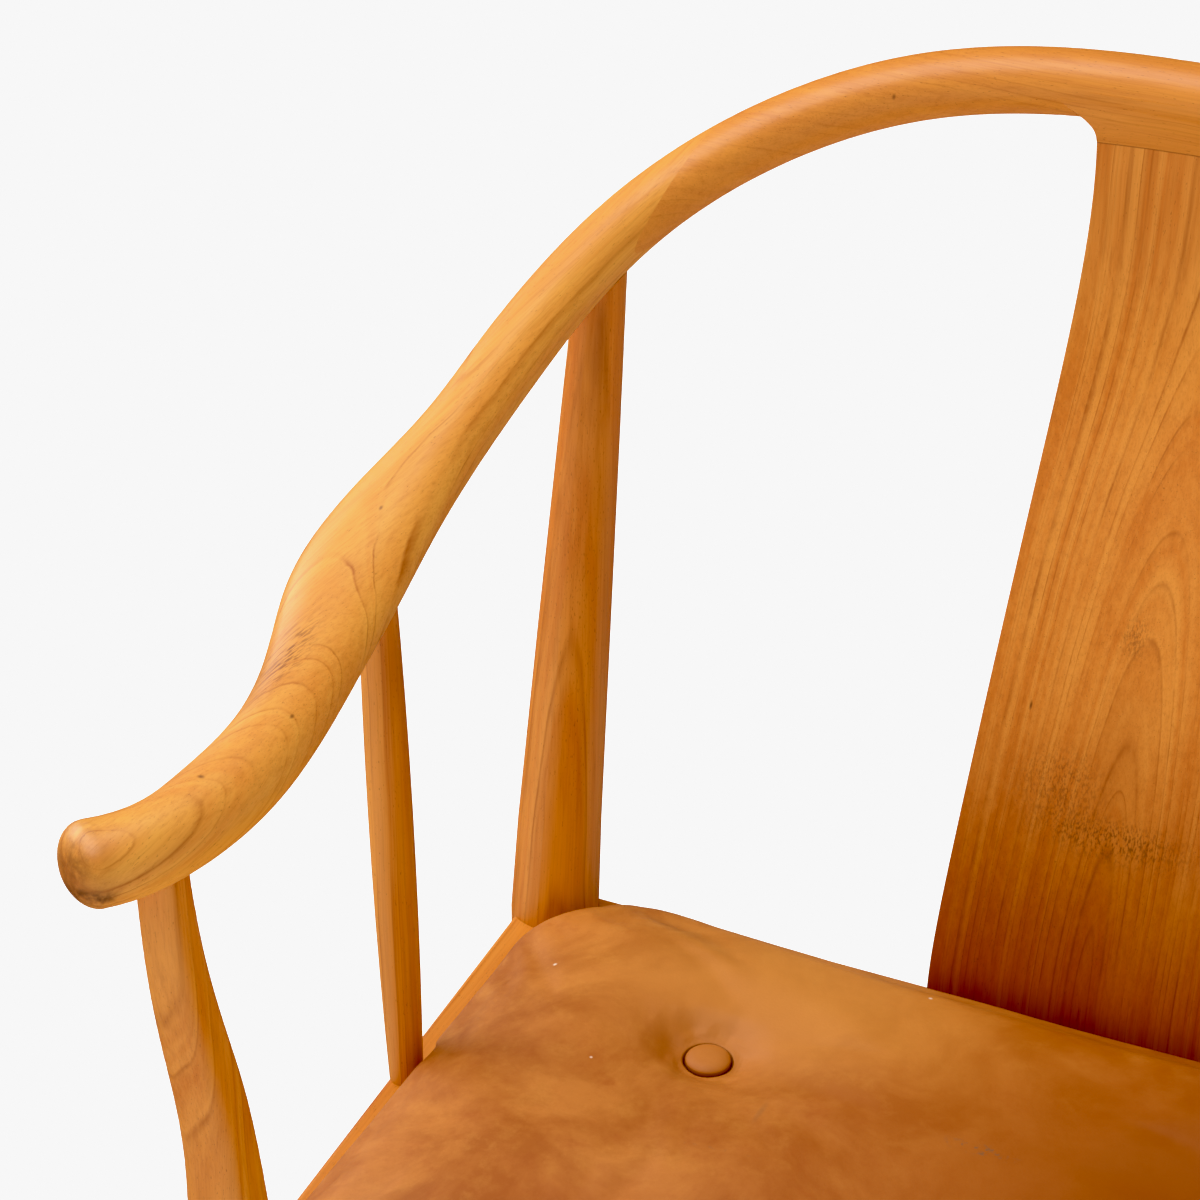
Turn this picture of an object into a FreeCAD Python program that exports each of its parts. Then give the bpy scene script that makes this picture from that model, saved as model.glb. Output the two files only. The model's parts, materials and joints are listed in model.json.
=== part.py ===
import FreeCAD, Part
import Sketcher
import math
import os

# Horseshoe back armchair in solid wood with a loose tufted leather cushion.
# Millimetres. X runs left to right as seen from the front, Y from front to back, Z up.
# The origin is on the floor, under the middle of the chair.

Vector = FreeCAD.Vector
UP = Vector(0, 0, 1)

doc = FreeCAD.newDocument("HorseshoeArmchair")
sheet = doc.addObject("Spreadsheet::Sheet", "Sizes")

# Driving dimensions: alias, value in millimetres (degrees where it says so), meaning
DRIVING_SIZES = [
    ("seat_height", 411, "floor to the top of the seat rails"),
    ("leg_x", 247.6, "chair middle to each leg line at the seat"),
    ("front_leg_y", -202, "front leg line"),
    ("back_leg_y", 105, "back leg line"),
    ("front_leg_half", 16.1, "half side of the front leg at the seat"),
    ("front_leg_foot_half", 14, "half side of the front leg at the floor"),
    ("front_leg_top_half", 8.4, "half side of the front leg under the arm"),
    ("front_leg_swan", 8, "how far the front leg sways back above the seat"),
    ("back_leg_radius", 20.4, "back leg at the seat"),
    ("back_leg_foot_radius", 15.5, "back leg at the floor"),
    ("back_leg_top_radius", 10.6, "back leg under the bow"),
    ("leg_tenon_radius", 6, "round tenon on top of each leg"),
    ("leg_tenon_rise", 5, "leg tenon above the middle of the bow"),
    ("fit_gap", 0.1, "clearance all round a tenon, tongue or dowel"),
    ("end_gap", 1, "clearance at the bottom of a mortise or socket"),
    ("bow_half_width", 257, "chair middle to the middle of the arm at the elbow"),
    ("crest_y", 245, "middle of the bow at the back"),
    ("crest_z", 803.2, "middle of the bow at the back"),
    ("hand_y", -244, "middle of the arm's hand"),
    ("hand_z", 662, "middle of the arm's hand"),
    ("bow_thick", 28, "diameter of the bow at the back"),
    ("hand_cap", 12, "length of the rounded end of the hand"),
    ("front_leg_top_y", -223, "where the front leg meets the arm"),
    ("back_leg_top_y", 128.3, "where the back leg meets the bow"),
    ("scarf_y", 176, "middle of the scarf joint between crest and arm"),
    ("scarf_angle", 64, "degrees between the scarf and a square cut"),
    ("dowel_radius", 4, "dowel in the scarf joint"),
    ("dowel_long", 44, "dowel in the scarf joint"),
    ("spindle_outset", 7.4, "leg line outwards to the side spindle's foot"),
    ("spindle_foot_y", -34.5, "side spindle on the side rail"),
    ("spindle_top_y", -43, "side spindle under the arm"),
    ("spindle_foot_radius", 7.4, "side spindle at its foot"),
    ("spindle_top_radius", 7.6, "side spindle at the arm"),
    ("spindle_bulge", 1.9, "swell of the side spindle at half height"),
    ("spindle_tenon_radius", 5, "tenon under the side spindle"),
    ("spindle_tenon_long", 14, "tenon under the side spindle"),
    ("spindle_housing", 20, "straight top of the side spindle, let into the arm"),
    ("spindle_shoulder_gap", 0.3, "glue line under the spindle's shoulder"),
    ("spindle_hole_gap", 0.5, "clearance round the leaning spindle tenon"),
    ("splat_foot_half", 65.4, "half width of the splat at the seat"),
    ("splat_foot_y", 104.9, "front of the splat at the seat"),
    ("splat_thick", 9.5, "splat, front to back"),
    ("splat_dish", 4.3, "hollow of the splat's front across its top"),
    ("seam_drop", 22, "middle of the crest down to the splat's seam"),
    ("seam_setback", 9.5, "middle of the crest forward to the splat's front"),
    ("tongue_thick", 5, "tongue at each end of the splat"),
    ("tongue_tall", 8, "tongue at each end of the splat"),
    ("tongue_inset", 4, "splat's edge to the tongue's end"),
    ("lobe_thick", 10.5, "lobe of the crest at the seam"),
    ("lobe_lean", 4.3, "lean of the lobe's front towards the bow"),
    ("rail_thick", 28, "seat rails"),
    ("rail_tall", 45, "seat rails"),
    ("rail_arris", 2.5, "rounding of the rail's top edges"),
    ("rail_tenon_thick", 10, "tenons of the seat rails"),
    ("rail_tenon_tall", 17, "tenons of the seat rails"),
    ("rail_tenon_offset", 10, "rail tenon above or below the rail's middle"),
    ("stretcher_thick", 17, "stretchers between the legs"),
    ("stretcher_tall", 28, "stretchers between the legs"),
    ("stretcher_arris", 5, "rounding of the stretcher's edges"),
    ("stretcher_tenon_thick", 8, "tenons of the stretchers"),
    ("stretcher_tenon_tall", 16, "tenons of the stretchers"),
    ("tenon_long", 12, "tenons of rails and stretchers"),
    ("front_stretcher_z", 95, "middle of the front stretcher"),
    ("side_stretcher_z", 135, "middle of the side stretchers"),
    ("back_stretcher_z", 175, "middle of the back stretcher"),
    ("apron_thick", 9, "aprons under the seat rails"),
    ("apron_drop", 62, "apron down its ends"),
    ("apron_band", 16, "apron in its middle"),
    ("apron_foot", 12, "apron's width at the bottom of its ends"),
    ("apron_tongue_thick", 4, "tongue on top of the apron"),
    ("apron_tongue_tall", 5, "tongue on top of the apron"),
    ("panel_thick", 9, "plywood seat panel"),
    ("panel_gap", 0.5, "seat panel to the rails"),
    ("panel_corner", 8, "corner cut off the seat panel"),
    ("block_long", 55, "corner block along each rail"),
    ("block_tall", 25, "corner block"),
    ("block_corner", 12, "corner cut off the corner block"),
    ("screw_inset", 19, "rail to the screw in each corner block"),
    ("screw_head_radius", 4, "countersunk screws of the seat panel"),
    ("screw_shank_radius", 2, "countersunk screws of the seat panel"),
    ("screw_long", 25, "countersunk screws of the seat panel"),
    ("glide_radius", 10.5, "glide under each foot"),
    ("glide_tall", 3, "glide under each foot"),
    ("glide_pin_radius", 1.5, "pin of each glide"),
    ("glide_pin_long", 14, "pin of each glide"),
    ("cushion_outset", 7.4, "leg line outwards to the cushion's side at its front"),
    ("cushion_taper", 7, "how much nearer the middle the cushion's side is at its back"),
    ("cushion_forward", 15, "front leg line forwards to the cushion's front"),
    ("cushion_tall", 41.5, "seat cushion to the top of its crown"),
    ("cushion_gap", 0.4, "seat cushion to what it lies against"),
    ("cushion_lift", 120, "how far the cushion is lifted past the spindles"),
    ("cushion_side_draw", 1, "how far the cushion's sides are drawn in"),
    ("cushion_end_draw", 4.5, "how far the cushion's front and back are drawn in"),
    ("cushion_back_corner", 57, "radius of the cushion's back corners"),
    ("cushion_front_corner", 26, "radius of the cushion's front corners"),
    ("cushion_notch_gap", 6, "front leg to the cushion's notch"),
    ("cushion_notch_radius", 9, "inner corner of the cushion's notch"),
    ("button_x", 126.5, "chair middle to the buttons"),
    ("button_back_y", -4, "back pair of buttons"),
    ("button_front_y", -156, "front pair of buttons"),
    ("button_radius", 10.8, "leather covered buttons"),
    ("button_tall", 5, "leather covered buttons"),
    ("button_rim", 1.6, "straight side of the button"),
    ("tuft_bottom", 27, "cushion's underside to the button's seat"),
    ("tuft_radius", 37, "dimple round each button"),
    ("tuft_rise", 13, "dimple above the button's seat"),
    ("overrun", 2, "how far cutting shapes run past what they cut"),
]

# The bow from its middle to the hand. Each row gives shares: sideways of
# bow_half_width, backwards from hand_y to crest_y, upwards from hand_z to crest_z,
# and then the section's width and height as shares of bow_thick.
BOW_SHARES = [
    (0.000, 1.000, 1.000, 1.00, 1.00),
    (0.545, 0.960, 0.918, 1.00, 1.00),
    (0.864, 0.824, 0.653, 0.95, 0.98),
    (0.972, 0.600, 0.363, 1.03, 1.00),
    (0.990, 0.500, 0.255, 1.17, 1.00),
    (1.003, 0.392, 0.159, 1.63, 0.94),
    (0.981, 0.310, 0.100, 1.45, 0.92),
    (0.951, 0.222, 0.052, 1.20, 0.95),
    (0.952, 0.096, 0.0095, 1.17, 1.06),
    (1.035, 0.000, -0.0035, 1.22, 1.10),
]
# The hand's rounded end: shares of hand_cap, and of the section there
HAND_CAP_SHARES = [(0.45, 0.92), (0.80, 0.66), (1.00, 0.28)]
# Fullness of the bow's section: 1 is an ellipse, less is squarer
BOW_FULLNESS_SHARE = 0.93
RING_POINTS = 8
BOW_PIECES = 30
# Cutting face of a scarf joint, along the cut and upright, by bow_thick
SCARF_REACH_SHARES = (2, 3)

# The splat from seat to seam: shares of its rise, of its reach backwards,
# of splat_foot_half and of splat_dish
SPLAT_SHARES = [
    (0.00, 0.000, 1.000, 0.06),
    (0.10, 0.029, 0.989, 0.10),
    (0.20, 0.134, 0.973, 0.20),
    (0.40, 0.405, 0.944, 0.40),
    (0.60, 0.703, 0.917, 0.60),
    (0.75, 0.905, 0.889, 0.75),
    (0.87, 0.983, 0.856, 0.87),
    (1.00, 1.000, 0.853, 1.00),
]
# The lobe from the seam up into the bow: shares of seam_drop, of the splat's half
# width at the seam for the lobe's front and for its wider back, and of lobe_thick
LOBE_SHARES = [
    (0.00, 1.00, 1.00, 1.00),
    (0.15, 1.01, 1.02, 1.02),
    (0.27, 1.03, 1.06, 1.05),
    (0.36, 1.06, 1.14, 1.08),
    (0.43, 1.09, 1.27, 1.10),
    (0.55, 1.15, 1.46, 1.14),
    (0.75, 1.28, 1.60, 1.22),
    (0.90, 1.40, 1.66, 1.27),
    (1.04, 1.52, 1.70, 1.30),
]
# Above the seat, legs by shares of the way to the arm: the line's run towards its
# top, the sway as a share of front_leg_swan, and how far the taper has gone
FRONT_LEG_SHARES = [
    (0.00, 0.00, 0.00, 0.00),
    (0.14, 0.03, 0.45, 0.12),
    (0.30, 0.13, 0.75, 0.40),
    (0.48, 0.37, 0.70, 0.57),
    (0.66, 0.68, 0.27, 0.73),
    (0.83, 0.90, 0.05, 0.90),
    (1.00, 1.00, 0.00, 1.00),
]
BACK_LEG_SHARES = [
    (0.00, 0.00, 0.00),
    (0.15, 0.11, 0.13),
    (0.45, 0.42, 0.42),
    (0.75, 0.74, 0.73),
    (1.00, 1.00, 1.00),
]
FRONT_LEG_CORNER_SHARE = 0.62

# The cushion's side and crown: shares of cushion_tall, and of its half depth
# that the outline lies further in
CUSHION_SHARES = [
    (0.00, 0.030),
    (0.14, 0.006),
    (0.30, 0.000),
    (0.46, 0.016),
    (0.60, 0.065),
    (0.74, 0.175),
    (0.88, 0.390),
    (0.97, 0.680),
    (1.00, 0.920),
]
CUSHION_CORNER_SHRINK_SHARE = 0.75
# Places along the cushion's lift where its groove clears the spindle
LIFT_SHARES = (0.0, 0.25, 0.5, 0.75, 1.0)

for row, (alias, value, meaning) in enumerate(DRIVING_SIZES, start=1):
    sheet.set("A%d" % row, alias)
    sheet.set("B%d" % row, str(value))
    sheet.set("C%d" % row, meaning)
    sheet.setAlias("B%d" % row, alias)
doc.recompute()


def size(alias):
    """Value of a named size from the sheet."""
    return float(sheet.get(alias))


def derive(alias, value):
    """Store a worked-out size in the sheet, so that sketches can be bound to it."""
    row = sheet_rows[0] = sheet_rows[0] + 1
    sheet.set("A%d" % row, alias)
    sheet.set("B%d" % row, repr(float(value)))
    sheet.setAlias("B%d" % row, alias)
    sheet.recompute()


sheet_rows = [len(DRIVING_SIZES)]


def worth(expression):
    """Number that an expression of named sizes comes to."""
    return float(sheet.evalExpression(expression))


# Helpers for bodies, sketches and features

def new_body(label):
    body = doc.addObject("PartDesign::Body", label)
    body.Label = label
    return body


def new_sketch(body, role, name, lift=None):
    """Sketch on one of the body's own planes, lifted along its normal."""
    sketch = body.newObject("Sketcher::SketchObject", body.Name + "_" + name)
    plane = [f for f in body.Origin.OriginFeatures if f.Role == role][0]
    sketch.AttachmentSupport = (plane, "")
    sketch.MapMode = "FlatFace"
    if lift:
        sketch.setExpression("AttachmentOffset.Base.z", lift)
    return sketch


def hold_point(sketch, edge, end, x_text, y_text):
    """Tie one end of an edge to named sizes, or to an axis where it is zero."""
    for kind, text, axis in (("DistanceX", x_text, -2), ("DistanceY", y_text, -1)):
        if text == "0":
            sketch.addConstraint(Sketcher.Constraint("PointOnObject", edge, end, axis))
        else:
            row = sketch.addConstraint(Sketcher.Constraint(kind, edge, end, worth(text)))
            sketch.setExpression("Constraints[%d]" % row, text)


def draw_outline(sketch, corners):
    """Closed outline. A corner is (x, y) or (x, y, radius, side), where the last two
    make the edge to the next corner an arc that bulges left (1) or right (-1)."""
    points = [Vector(worth(c[0]), worth(c[1]), 0) for c in corners]
    ends = []
    for i, corner in enumerate(corners):
        start, stop = points[i], points[(i + 1) % len(points)]
        if len(corner) == 2:
            edge = sketch.addGeometry(Part.LineSegment(start, stop), False)
        else:
            radius = worth(corner[2])
            middle = (start + stop) / 2
            along = (stop - start).normalize()
            across = Vector(-along.y, along.x, 0) * corner[3]
            reach = math.sqrt(max(radius ** 2 - (stop - start).Length ** 2 / 4, 0))
            crown = middle - across * reach + across * radius
            spots = (start, crown, stop) if corner[3] < 0 else (stop, crown, start)
            edge = sketch.addGeometry(Part.Arc(*spots), False)
        # Arcs run anticlockwise, so one that bulges left starts at its far end
        first = 2 if len(corner) > 2 and corner[3] > 0 else 1
        ends.append((edge, first, 3 - first))
    for i, corner in enumerate(corners):
        edge, first, last = ends[i]
        following = ends[(i + 1) % len(ends)]
        sketch.addConstraint(Sketcher.Constraint("Coincident", edge, last, following[0], following[1]))
        hold_point(sketch, edge, first, corner[0], corner[1])
        if len(corner) > 2:
            row = sketch.addConstraint(Sketcher.Constraint("Radius", edge, worth(corner[2])))
            sketch.setExpression("Constraints[%d]" % row, corner[2])


def draw_box(sketch, half_wide, half_tall, mid_x="0", mid_y="0"):
    """Rectangle about a middle point."""
    left = "%s - (%s)" % (mid_x, half_wide)
    right = "%s + (%s)" % (mid_x, half_wide)
    low = "%s - (%s)" % (mid_y, half_tall)
    high = "%s + (%s)" % (mid_y, half_tall)
    draw_outline(sketch, [(left, low), (right, low), (right, high), (left, high)])


def draw_circle(sketch, x_text, y_text, radius):
    middle = Vector(worth(x_text), worth(y_text), 0)
    edge = sketch.addGeometry(Part.Circle(middle, UP, worth(radius)), False)
    hold_point(sketch, edge, 3, x_text, y_text)
    row = sketch.addConstraint(Sketcher.Constraint("Radius", edge, worth(radius)))
    sketch.setExpression("Constraints[%d]" % row, radius)


def pad(body, sketch, length, behind=None, centred=False):
    """Pad along the sketch's normal, with another length behind it if given."""
    feature = body.newObject("PartDesign::Pad", sketch.Name + "_pad")
    feature.Profile = sketch
    if behind:
        feature.SideType = "Two sides"
        feature.setExpression("Length2", behind)
    elif centred:
        feature.SideType = "Symmetric"
    feature.setExpression("Length", length)
    sketch.Visibility = False
    doc.recompute()
    return feature


def pocket(body, sketch, depth=None):
    """Pocket down from the sketch, or right through both ways."""
    before = body.Shape.Volume
    feature = body.newObject("PartDesign::Pocket", sketch.Name + "_pocket")
    feature.Profile = sketch
    if depth:
        feature.setExpression("Length", depth)
    else:
        feature.SideType = "Symmetric"
        feature.Type = "ThroughAll"
    doc.recompute()
    if not body.Shape.Volume < before:
        raise ValueError(feature.Name + " cuts nothing")
    return feature


def round_edges(body, name, radius, chosen):
    """Fillet on the edges that the test picks out."""
    base = body.Tip
    names = ["Edge%d" % (i + 1) for i, edge in enumerate(base.Shape.Edges) if chosen(edge)]
    if not names:
        raise ValueError(body.Name + " has no edge to round")
    feature = body.newObject("PartDesign::Fillet", body.Name + "_" + name)
    feature.Base = (base, names)
    feature.setExpression("Radius", radius)
    doc.recompute()
    return feature


def revolve(body, corners):
    """Solid turned about the body's own Z axis from an outline in its XZ plane."""
    sketch = new_sketch(body, "XZ_Plane", "profile")
    draw_outline(sketch, corners)
    feature = body.newObject("PartDesign::Revolution", body.Name + "_turned")
    feature.Profile = sketch
    feature.ReferenceAxis = (sketch, ["V_Axis"])
    feature.Angle = 360
    sketch.Visibility = False
    doc.recompute()
    return feature


def place(body, x_text, y_text, z_text, turned=0):
    """Place a body by named sizes, turned about the vertical by whole quarters."""
    body.Placement.Rotation = FreeCAD.Rotation(UP, 90 * turned)
    for axis, text in (("x", x_text), ("y", y_text), ("z", z_text)):
        body.setExpression("Placement.Base." + axis, text)


def new_form(label, shape):
    """Sub-part whose shape is free-form, worked out from the sheet's sizes."""
    form = doc.addObject("Part::Feature", label)
    form.Label = label
    form.Shape = shape
    form.Placement = FreeCAD.Placement()
    return form


def sign_text(side):
    return "-" if side < 0 else ""


def loft(sections, ruled=False):
    """Solid through closed outlines, its faces turned outwards."""
    solid = Part.makeLoft(sections, True, ruled)
    return solid if solid.Volume > 0 else solid.reversed()


def ring(middle, out, rise, fullness=1):
    """Smooth closed outline with its half axes; fullness below 1 squares it a little."""
    points = []
    for i in range(RING_POINTS):
        angle = 2 * math.pi * i / RING_POINTS
        cos, sin = math.cos(angle), math.sin(angle)
        out_share = math.copysign(abs(cos) ** fullness, cos)
        rise_share = math.copysign(abs(sin) ** fullness, sin)
        points.append(middle + out * out_share + rise * rise_share)
    curve = Part.BSplineCurve()
    curve.interpolate(Points=points, PeriodicFlag=True, Parameters=list(range(RING_POINTS + 1)))
    return Part.Wire(curve.toShape())


# The bow's middle line and sections

def bow_row(shares, side):
    """Place, width and height of one row of BOW_SHARES on one side."""
    across, back, rise, wide, tall = shares
    hand = Vector(0, size("hand_y"), size("hand_z"))
    crest = Vector(0, size("crest_y"), size("crest_z"))
    point = Vector(
        side * across * size("bow_half_width"),
        hand.y + back * (crest.y - hand.y),
        hand.z + rise * (crest.z - hand.z),
    )
    return point, wide * size("bow_thick"), tall * size("bow_thick")


bow_rows = [bow_row(shares, -1) for shares in reversed(BOW_SHARES)]
bow_rows += [bow_row(shares, 1) for shares in BOW_SHARES[1:]]
bow_line = Part.BSplineCurve()
bow_line.interpolate(Points=[row[0] for row in bow_rows])
bow_spots = [bow_line.parameter(row[0]) for row in bow_rows]
# Width and height of the section along the same line, kept as X and Y
bow_girth = Part.BSplineCurve()
girths = [Vector(row[1], row[2], spot) for row, spot in zip(bow_rows, bow_spots)]
bow_girth.interpolate(Points=girths, Parameters=bow_spots)


def bow_place(depth, side):
    """Point and direction of the bow's middle line at a place from front to back."""
    low, high = bow_line.FirstParameter, (bow_line.FirstParameter + bow_line.LastParameter) / 2
    for _ in range(60):
        middle = (low + high) / 2
        if bow_line.value(middle).y < depth:
            low = middle
        else:
            high = middle
    point, way = bow_line.value(low), bow_line.tangent(low)[0]
    if side > 0:
        point, way = Vector(-point.x, point.y, point.z), Vector(way.x, -way.y, -way.z)
    return point, way


def bow_section(point, way, wide, tall):
    """Closed outline square to the bow's line, a little fuller than an ellipse."""
    outwards = UP.cross(way).normalize()
    upwards = way.cross(outwards).normalize()
    return ring(point, outwards * (wide / 2), upwards * (tall / 2), BOW_FULLNESS_SHARE)


def bow_station(reach, grown):
    """Point, direction, width and height of the bow a way along its line."""
    spot = bow_line.parameterAtDistance(reach, bow_line.FirstParameter)
    girth = bow_girth.value(spot)
    return bow_line.value(spot), bow_line.tangent(spot)[0], girth.x + 2 * grown, girth.y + 2 * grown


def hand_cap(station, outward, grown):
    """Rounded end of one hand, from the bow's last section outwards."""
    point, way, wide, tall = station
    sections = [bow_section(point, way, wide, tall)]
    for reach_share, girth_share in HAND_CAP_SHARES:
        tip = point + outward * (reach_share * size("hand_cap") + grown)
        sections.append(bow_section(tip, way, girth_share * wide, girth_share * tall))
    return loft(sections)


def bow_blank(grown=0):
    """The whole bow before it is divided, or its envelope grown by a gap."""
    long = bow_line.length()
    stations = [bow_station(long * i / BOW_PIECES, grown) for i in range(BOW_PIECES + 1)]
    bow = loft([bow_section(*station) for station in stations])
    first, last = stations[0], stations[-1]
    return bow.fuse([hand_cap(first, -first[1], grown), hand_cap(last, last[1], grown)])


# The splat and the lobe share one kind of level section: a dished thin strip

def strip_section(half_wide, front, dish, thick, level, flare=0):
    """Level outline, its front at the edges at `front` and hollow by `dish`.
    The back is wider than the front by `flare` at each edge."""
    left, right = Vector(-half_wide, front, level), Vector(half_wide, front, level)
    bowed = Vector(0, front + dish, level)
    back_left, back_right = left + Vector(-flare, thick, 0), right + Vector(flare, thick, 0)
    back_bowed = bowed + Vector(0, thick, 0)
    return Part.Wire([
        Part.Arc(left, bowed, right).toShape(),
        Part.LineSegment(right, back_right).toShape(),
        Part.Arc(back_right, back_bowed, back_left).toShape(),
        Part.LineSegment(back_left, left).toShape(),
    ])


seam_z = size("crest_z") - size("seam_drop")
seam_front = size("crest_y") - size("seam_setback") - size("splat_dish")
seam_half = SPLAT_SHARES[-1][2] * size("splat_foot_half")


def splat_tongue(top, gap):
    """Tongue at one end of the splat, or the groove for it with a gap."""
    half_wide = (seam_half if top else size("splat_foot_half")) - size("tongue_inset") + gap
    thick = size("tongue_thick") + 2 * gap
    tall = size("tongue_tall") + (size("end_gap") if gap else 0)
    dish = SPLAT_SHARES[-1 if top else 0][3] * size("splat_dish")
    front = seam_front if top else size("splat_foot_y")
    front += (size("splat_thick") - thick) / 2
    level = seam_z if top else size("seat_height")
    step = 1 if top else -1
    root = level - step * size("tongue_tall")
    return loft([
        strip_section(half_wide, front, dish, thick, root),
        strip_section(half_wide, front, dish, thick, level + step * tall),
    ], ruled=True)


def make_splat():
    rise = seam_z - size("seat_height")
    reach = seam_front - size("splat_foot_y")
    sections = []
    for up, back, wide, dish in SPLAT_SHARES:
        sections.append(strip_section(
            wide * size("splat_foot_half"),
            size("splat_foot_y") + back * reach,
            dish * size("splat_dish"),
            size("splat_thick"),
            size("seat_height") + up * rise,
        ))
    blank = loft(sections)
    slab = Part.makeBox(
        4 * size("splat_foot_half"), 4 * size("crest_y"), rise,
        Vector(-2 * size("splat_foot_half"), -2 * size("crest_y"), size("seat_height")),
    )
    blank = blank.common(slab)
    for top in (False, True):
        tongue = splat_tongue(top, 0)
        blank = blank.fuse(tongue)
    return blank.removeSplitter()


def make_lobe():
    """Widening of the crest that runs down to the splat's seam."""
    sections = []
    for up, wide, back_wide, thick in LOBE_SHARES:
        sections.append(strip_section(
            wide * seam_half,
            seam_front - up * size("lobe_lean"),
            size("splat_dish"),
            thick * size("lobe_thick"),
            seam_z + up * size("seam_drop"),
            (back_wide - wide) * seam_half,
        ))
    return loft(sections)


# Legs

def rounded_square(middle, half):
    """Level outline of a leg: four flats and four rounded corners."""
    radius = FRONT_LEG_CORNER_SHARE * half
    flat = half - radius
    lean = radius * math.sqrt(0.5)
    edges = []
    for quarter in range(4):
        turn = FreeCAD.Rotation(UP, 90 * quarter)
        spots = [
            Vector(half, -flat, 0), Vector(half, flat, 0),
            Vector(flat + lean, flat + lean, 0), Vector(flat, half, 0),
        ]
        start, stop, crown, last = [middle + turn.multVec(spot) for spot in spots]
        edges.append(Part.LineSegment(start, stop).toShape())
        edges.append(Part.Arc(stop, crown, last).toShape())
    return Part.Wire(edges)


def level_ring(middle, radius):
    """Level circle as four quarter arcs."""
    edges = []
    for quarter in range(4):
        spots = []
        for share in (0, 0.5, 1):
            angle = math.pi / 2 * (quarter + share)
            spots.append(middle + Vector(math.cos(angle), math.sin(angle), 0) * radius)
        edges.append(Part.Arc(*spots).toShape())
    return Part.Wire(edges)


def leg_tenon(top, way, gap=0):
    """Round tenon on top of a leg, or the socket for it with a gap."""
    radius = size("leg_tenon_radius") + gap
    start = top - way * size("bow_thick")
    long = size("bow_thick") + size("leg_tenon_rise") + (size("end_gap") if gap else 0)
    return Part.makeCylinder(radius, long, start, way)


def front_leg_half_at(height):
    """Half side of the front leg below the seat, at a height."""
    share = (height - size("glide_tall")) / (size("seat_height") - size("rail_tall") - size("glide_tall"))
    return size("front_leg_foot_half") + share * (size("front_leg_half") - size("front_leg_foot_half"))


def front_leg_line(side):
    """Middle points and half sides of the front leg above the seat."""
    seat = Vector(side * size("leg_x"), size("front_leg_y"), size("seat_height"))
    top = bow_place(size("front_leg_top_y"), side)[0]
    rows = []
    for up, run, sway, taper in FRONT_LEG_SHARES:
        point = Vector(
            seat.x + up * (top.x - seat.x),
            seat.y + run * (top.y - seat.y) + sway * size("front_leg_swan"),
            seat.z + up * (top.z - seat.z),
        )
        half = size("front_leg_half") + taper * (size("front_leg_top_half") - size("front_leg_half"))
        rows.append((point, half))
    return rows


def back_leg_line(side):
    """Middle points and radii of the back leg above the seat."""
    seat = Vector(side * size("leg_x"), size("back_leg_y"), size("seat_height"))
    top = bow_place(size("back_leg_top_y"), side)[0]
    rows = []
    for up, run, taper in BACK_LEG_SHARES:
        point = seat + (top - seat) * run
        point.z = seat.z + up * (top.z - seat.z)
        radius = size("back_leg_radius") + taper * (size("back_leg_top_radius") - size("back_leg_radius"))
        rows.append((point, radius))
    return rows


def leg_top(rows):
    """Middle of the leg in the bow, and the way it points there."""
    return rows[-1][0], (rows[-1][0] - rows[-2][0]).normalize()


def rail_tenon_box(across, mid_z, thick, tall, face, side_x, side_y, gap):
    """Mortise in one leg for a bar that runs across (along X) or from front to back."""
    leg = Vector(side_x * size("leg_x"), size("front_leg_y") if side_y < 0 else size("back_leg_y"), mid_z)
    long = size("tenon_long") + size("end_gap")
    reach = face - long
    wide = thick + 2 * gap
    high = tall + 2 * gap
    start = Vector(reach, -wide / 2, -high / 2)
    box = Part.makeBox(long + size("overrun"), wide, high, start)
    way = Vector(-side_x, 0, 0) if across else Vector(0, -side_y, 0)
    angle = math.degrees(math.atan2(way.y, way.x))
    box.Placement = FreeCAD.Placement(leg, FreeCAD.Rotation(UP, angle))
    return box


def leg_cuts(side_x, side_y, leg_reach):
    """Everything cut out of a leg: mortises of its bars and the glide's pin hole."""
    gap = size("fit_gap")
    rail_mid = size("seat_height") - size("rail_tall") / 2
    lift = size("rail_tenon_offset")
    rail = (size("rail_tenon_thick"), size("rail_tenon_tall"))
    bar = (size("stretcher_tenon_thick"), size("stretcher_tenon_tall"))
    cross_z = size("front_stretcher_z") if side_y < 0 else size("back_stretcher_z")
    side_z = size("side_stretcher_z")
    cuts = [
        rail_tenon_box(True, rail_mid + lift, *rail, leg_reach(rail_mid), side_x, side_y, gap),
        rail_tenon_box(False, rail_mid - lift, *rail, leg_reach(rail_mid), side_x, side_y, gap),
        rail_tenon_box(True, cross_z, *bar, leg_reach(cross_z), side_x, side_y, gap),
        rail_tenon_box(False, side_z, *bar, leg_reach(side_z), side_x, side_y, gap),
    ]
    foot = Vector(side_x * size("leg_x"), size("front_leg_y") if side_y < 0 else size("back_leg_y"), 0)
    pin_top = size("glide_tall") + size("glide_pin_long") + size("end_gap")
    cuts.append(Part.makeCylinder(size("glide_pin_radius") + gap, pin_top, foot))
    return cuts


def back_leg_radius_at(height):
    """Radius of the back leg below the seat, at a height."""
    share = (height - size("glide_tall")) / (size("seat_height") - size("rail_tall") - size("glide_tall"))
    share = min(share, 1)
    return size("back_leg_foot_radius") + share * (size("back_leg_radius") - size("back_leg_foot_radius"))


def front_leg_reach(height):
    return min(front_leg_half_at(height), size("front_leg_half"))


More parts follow.
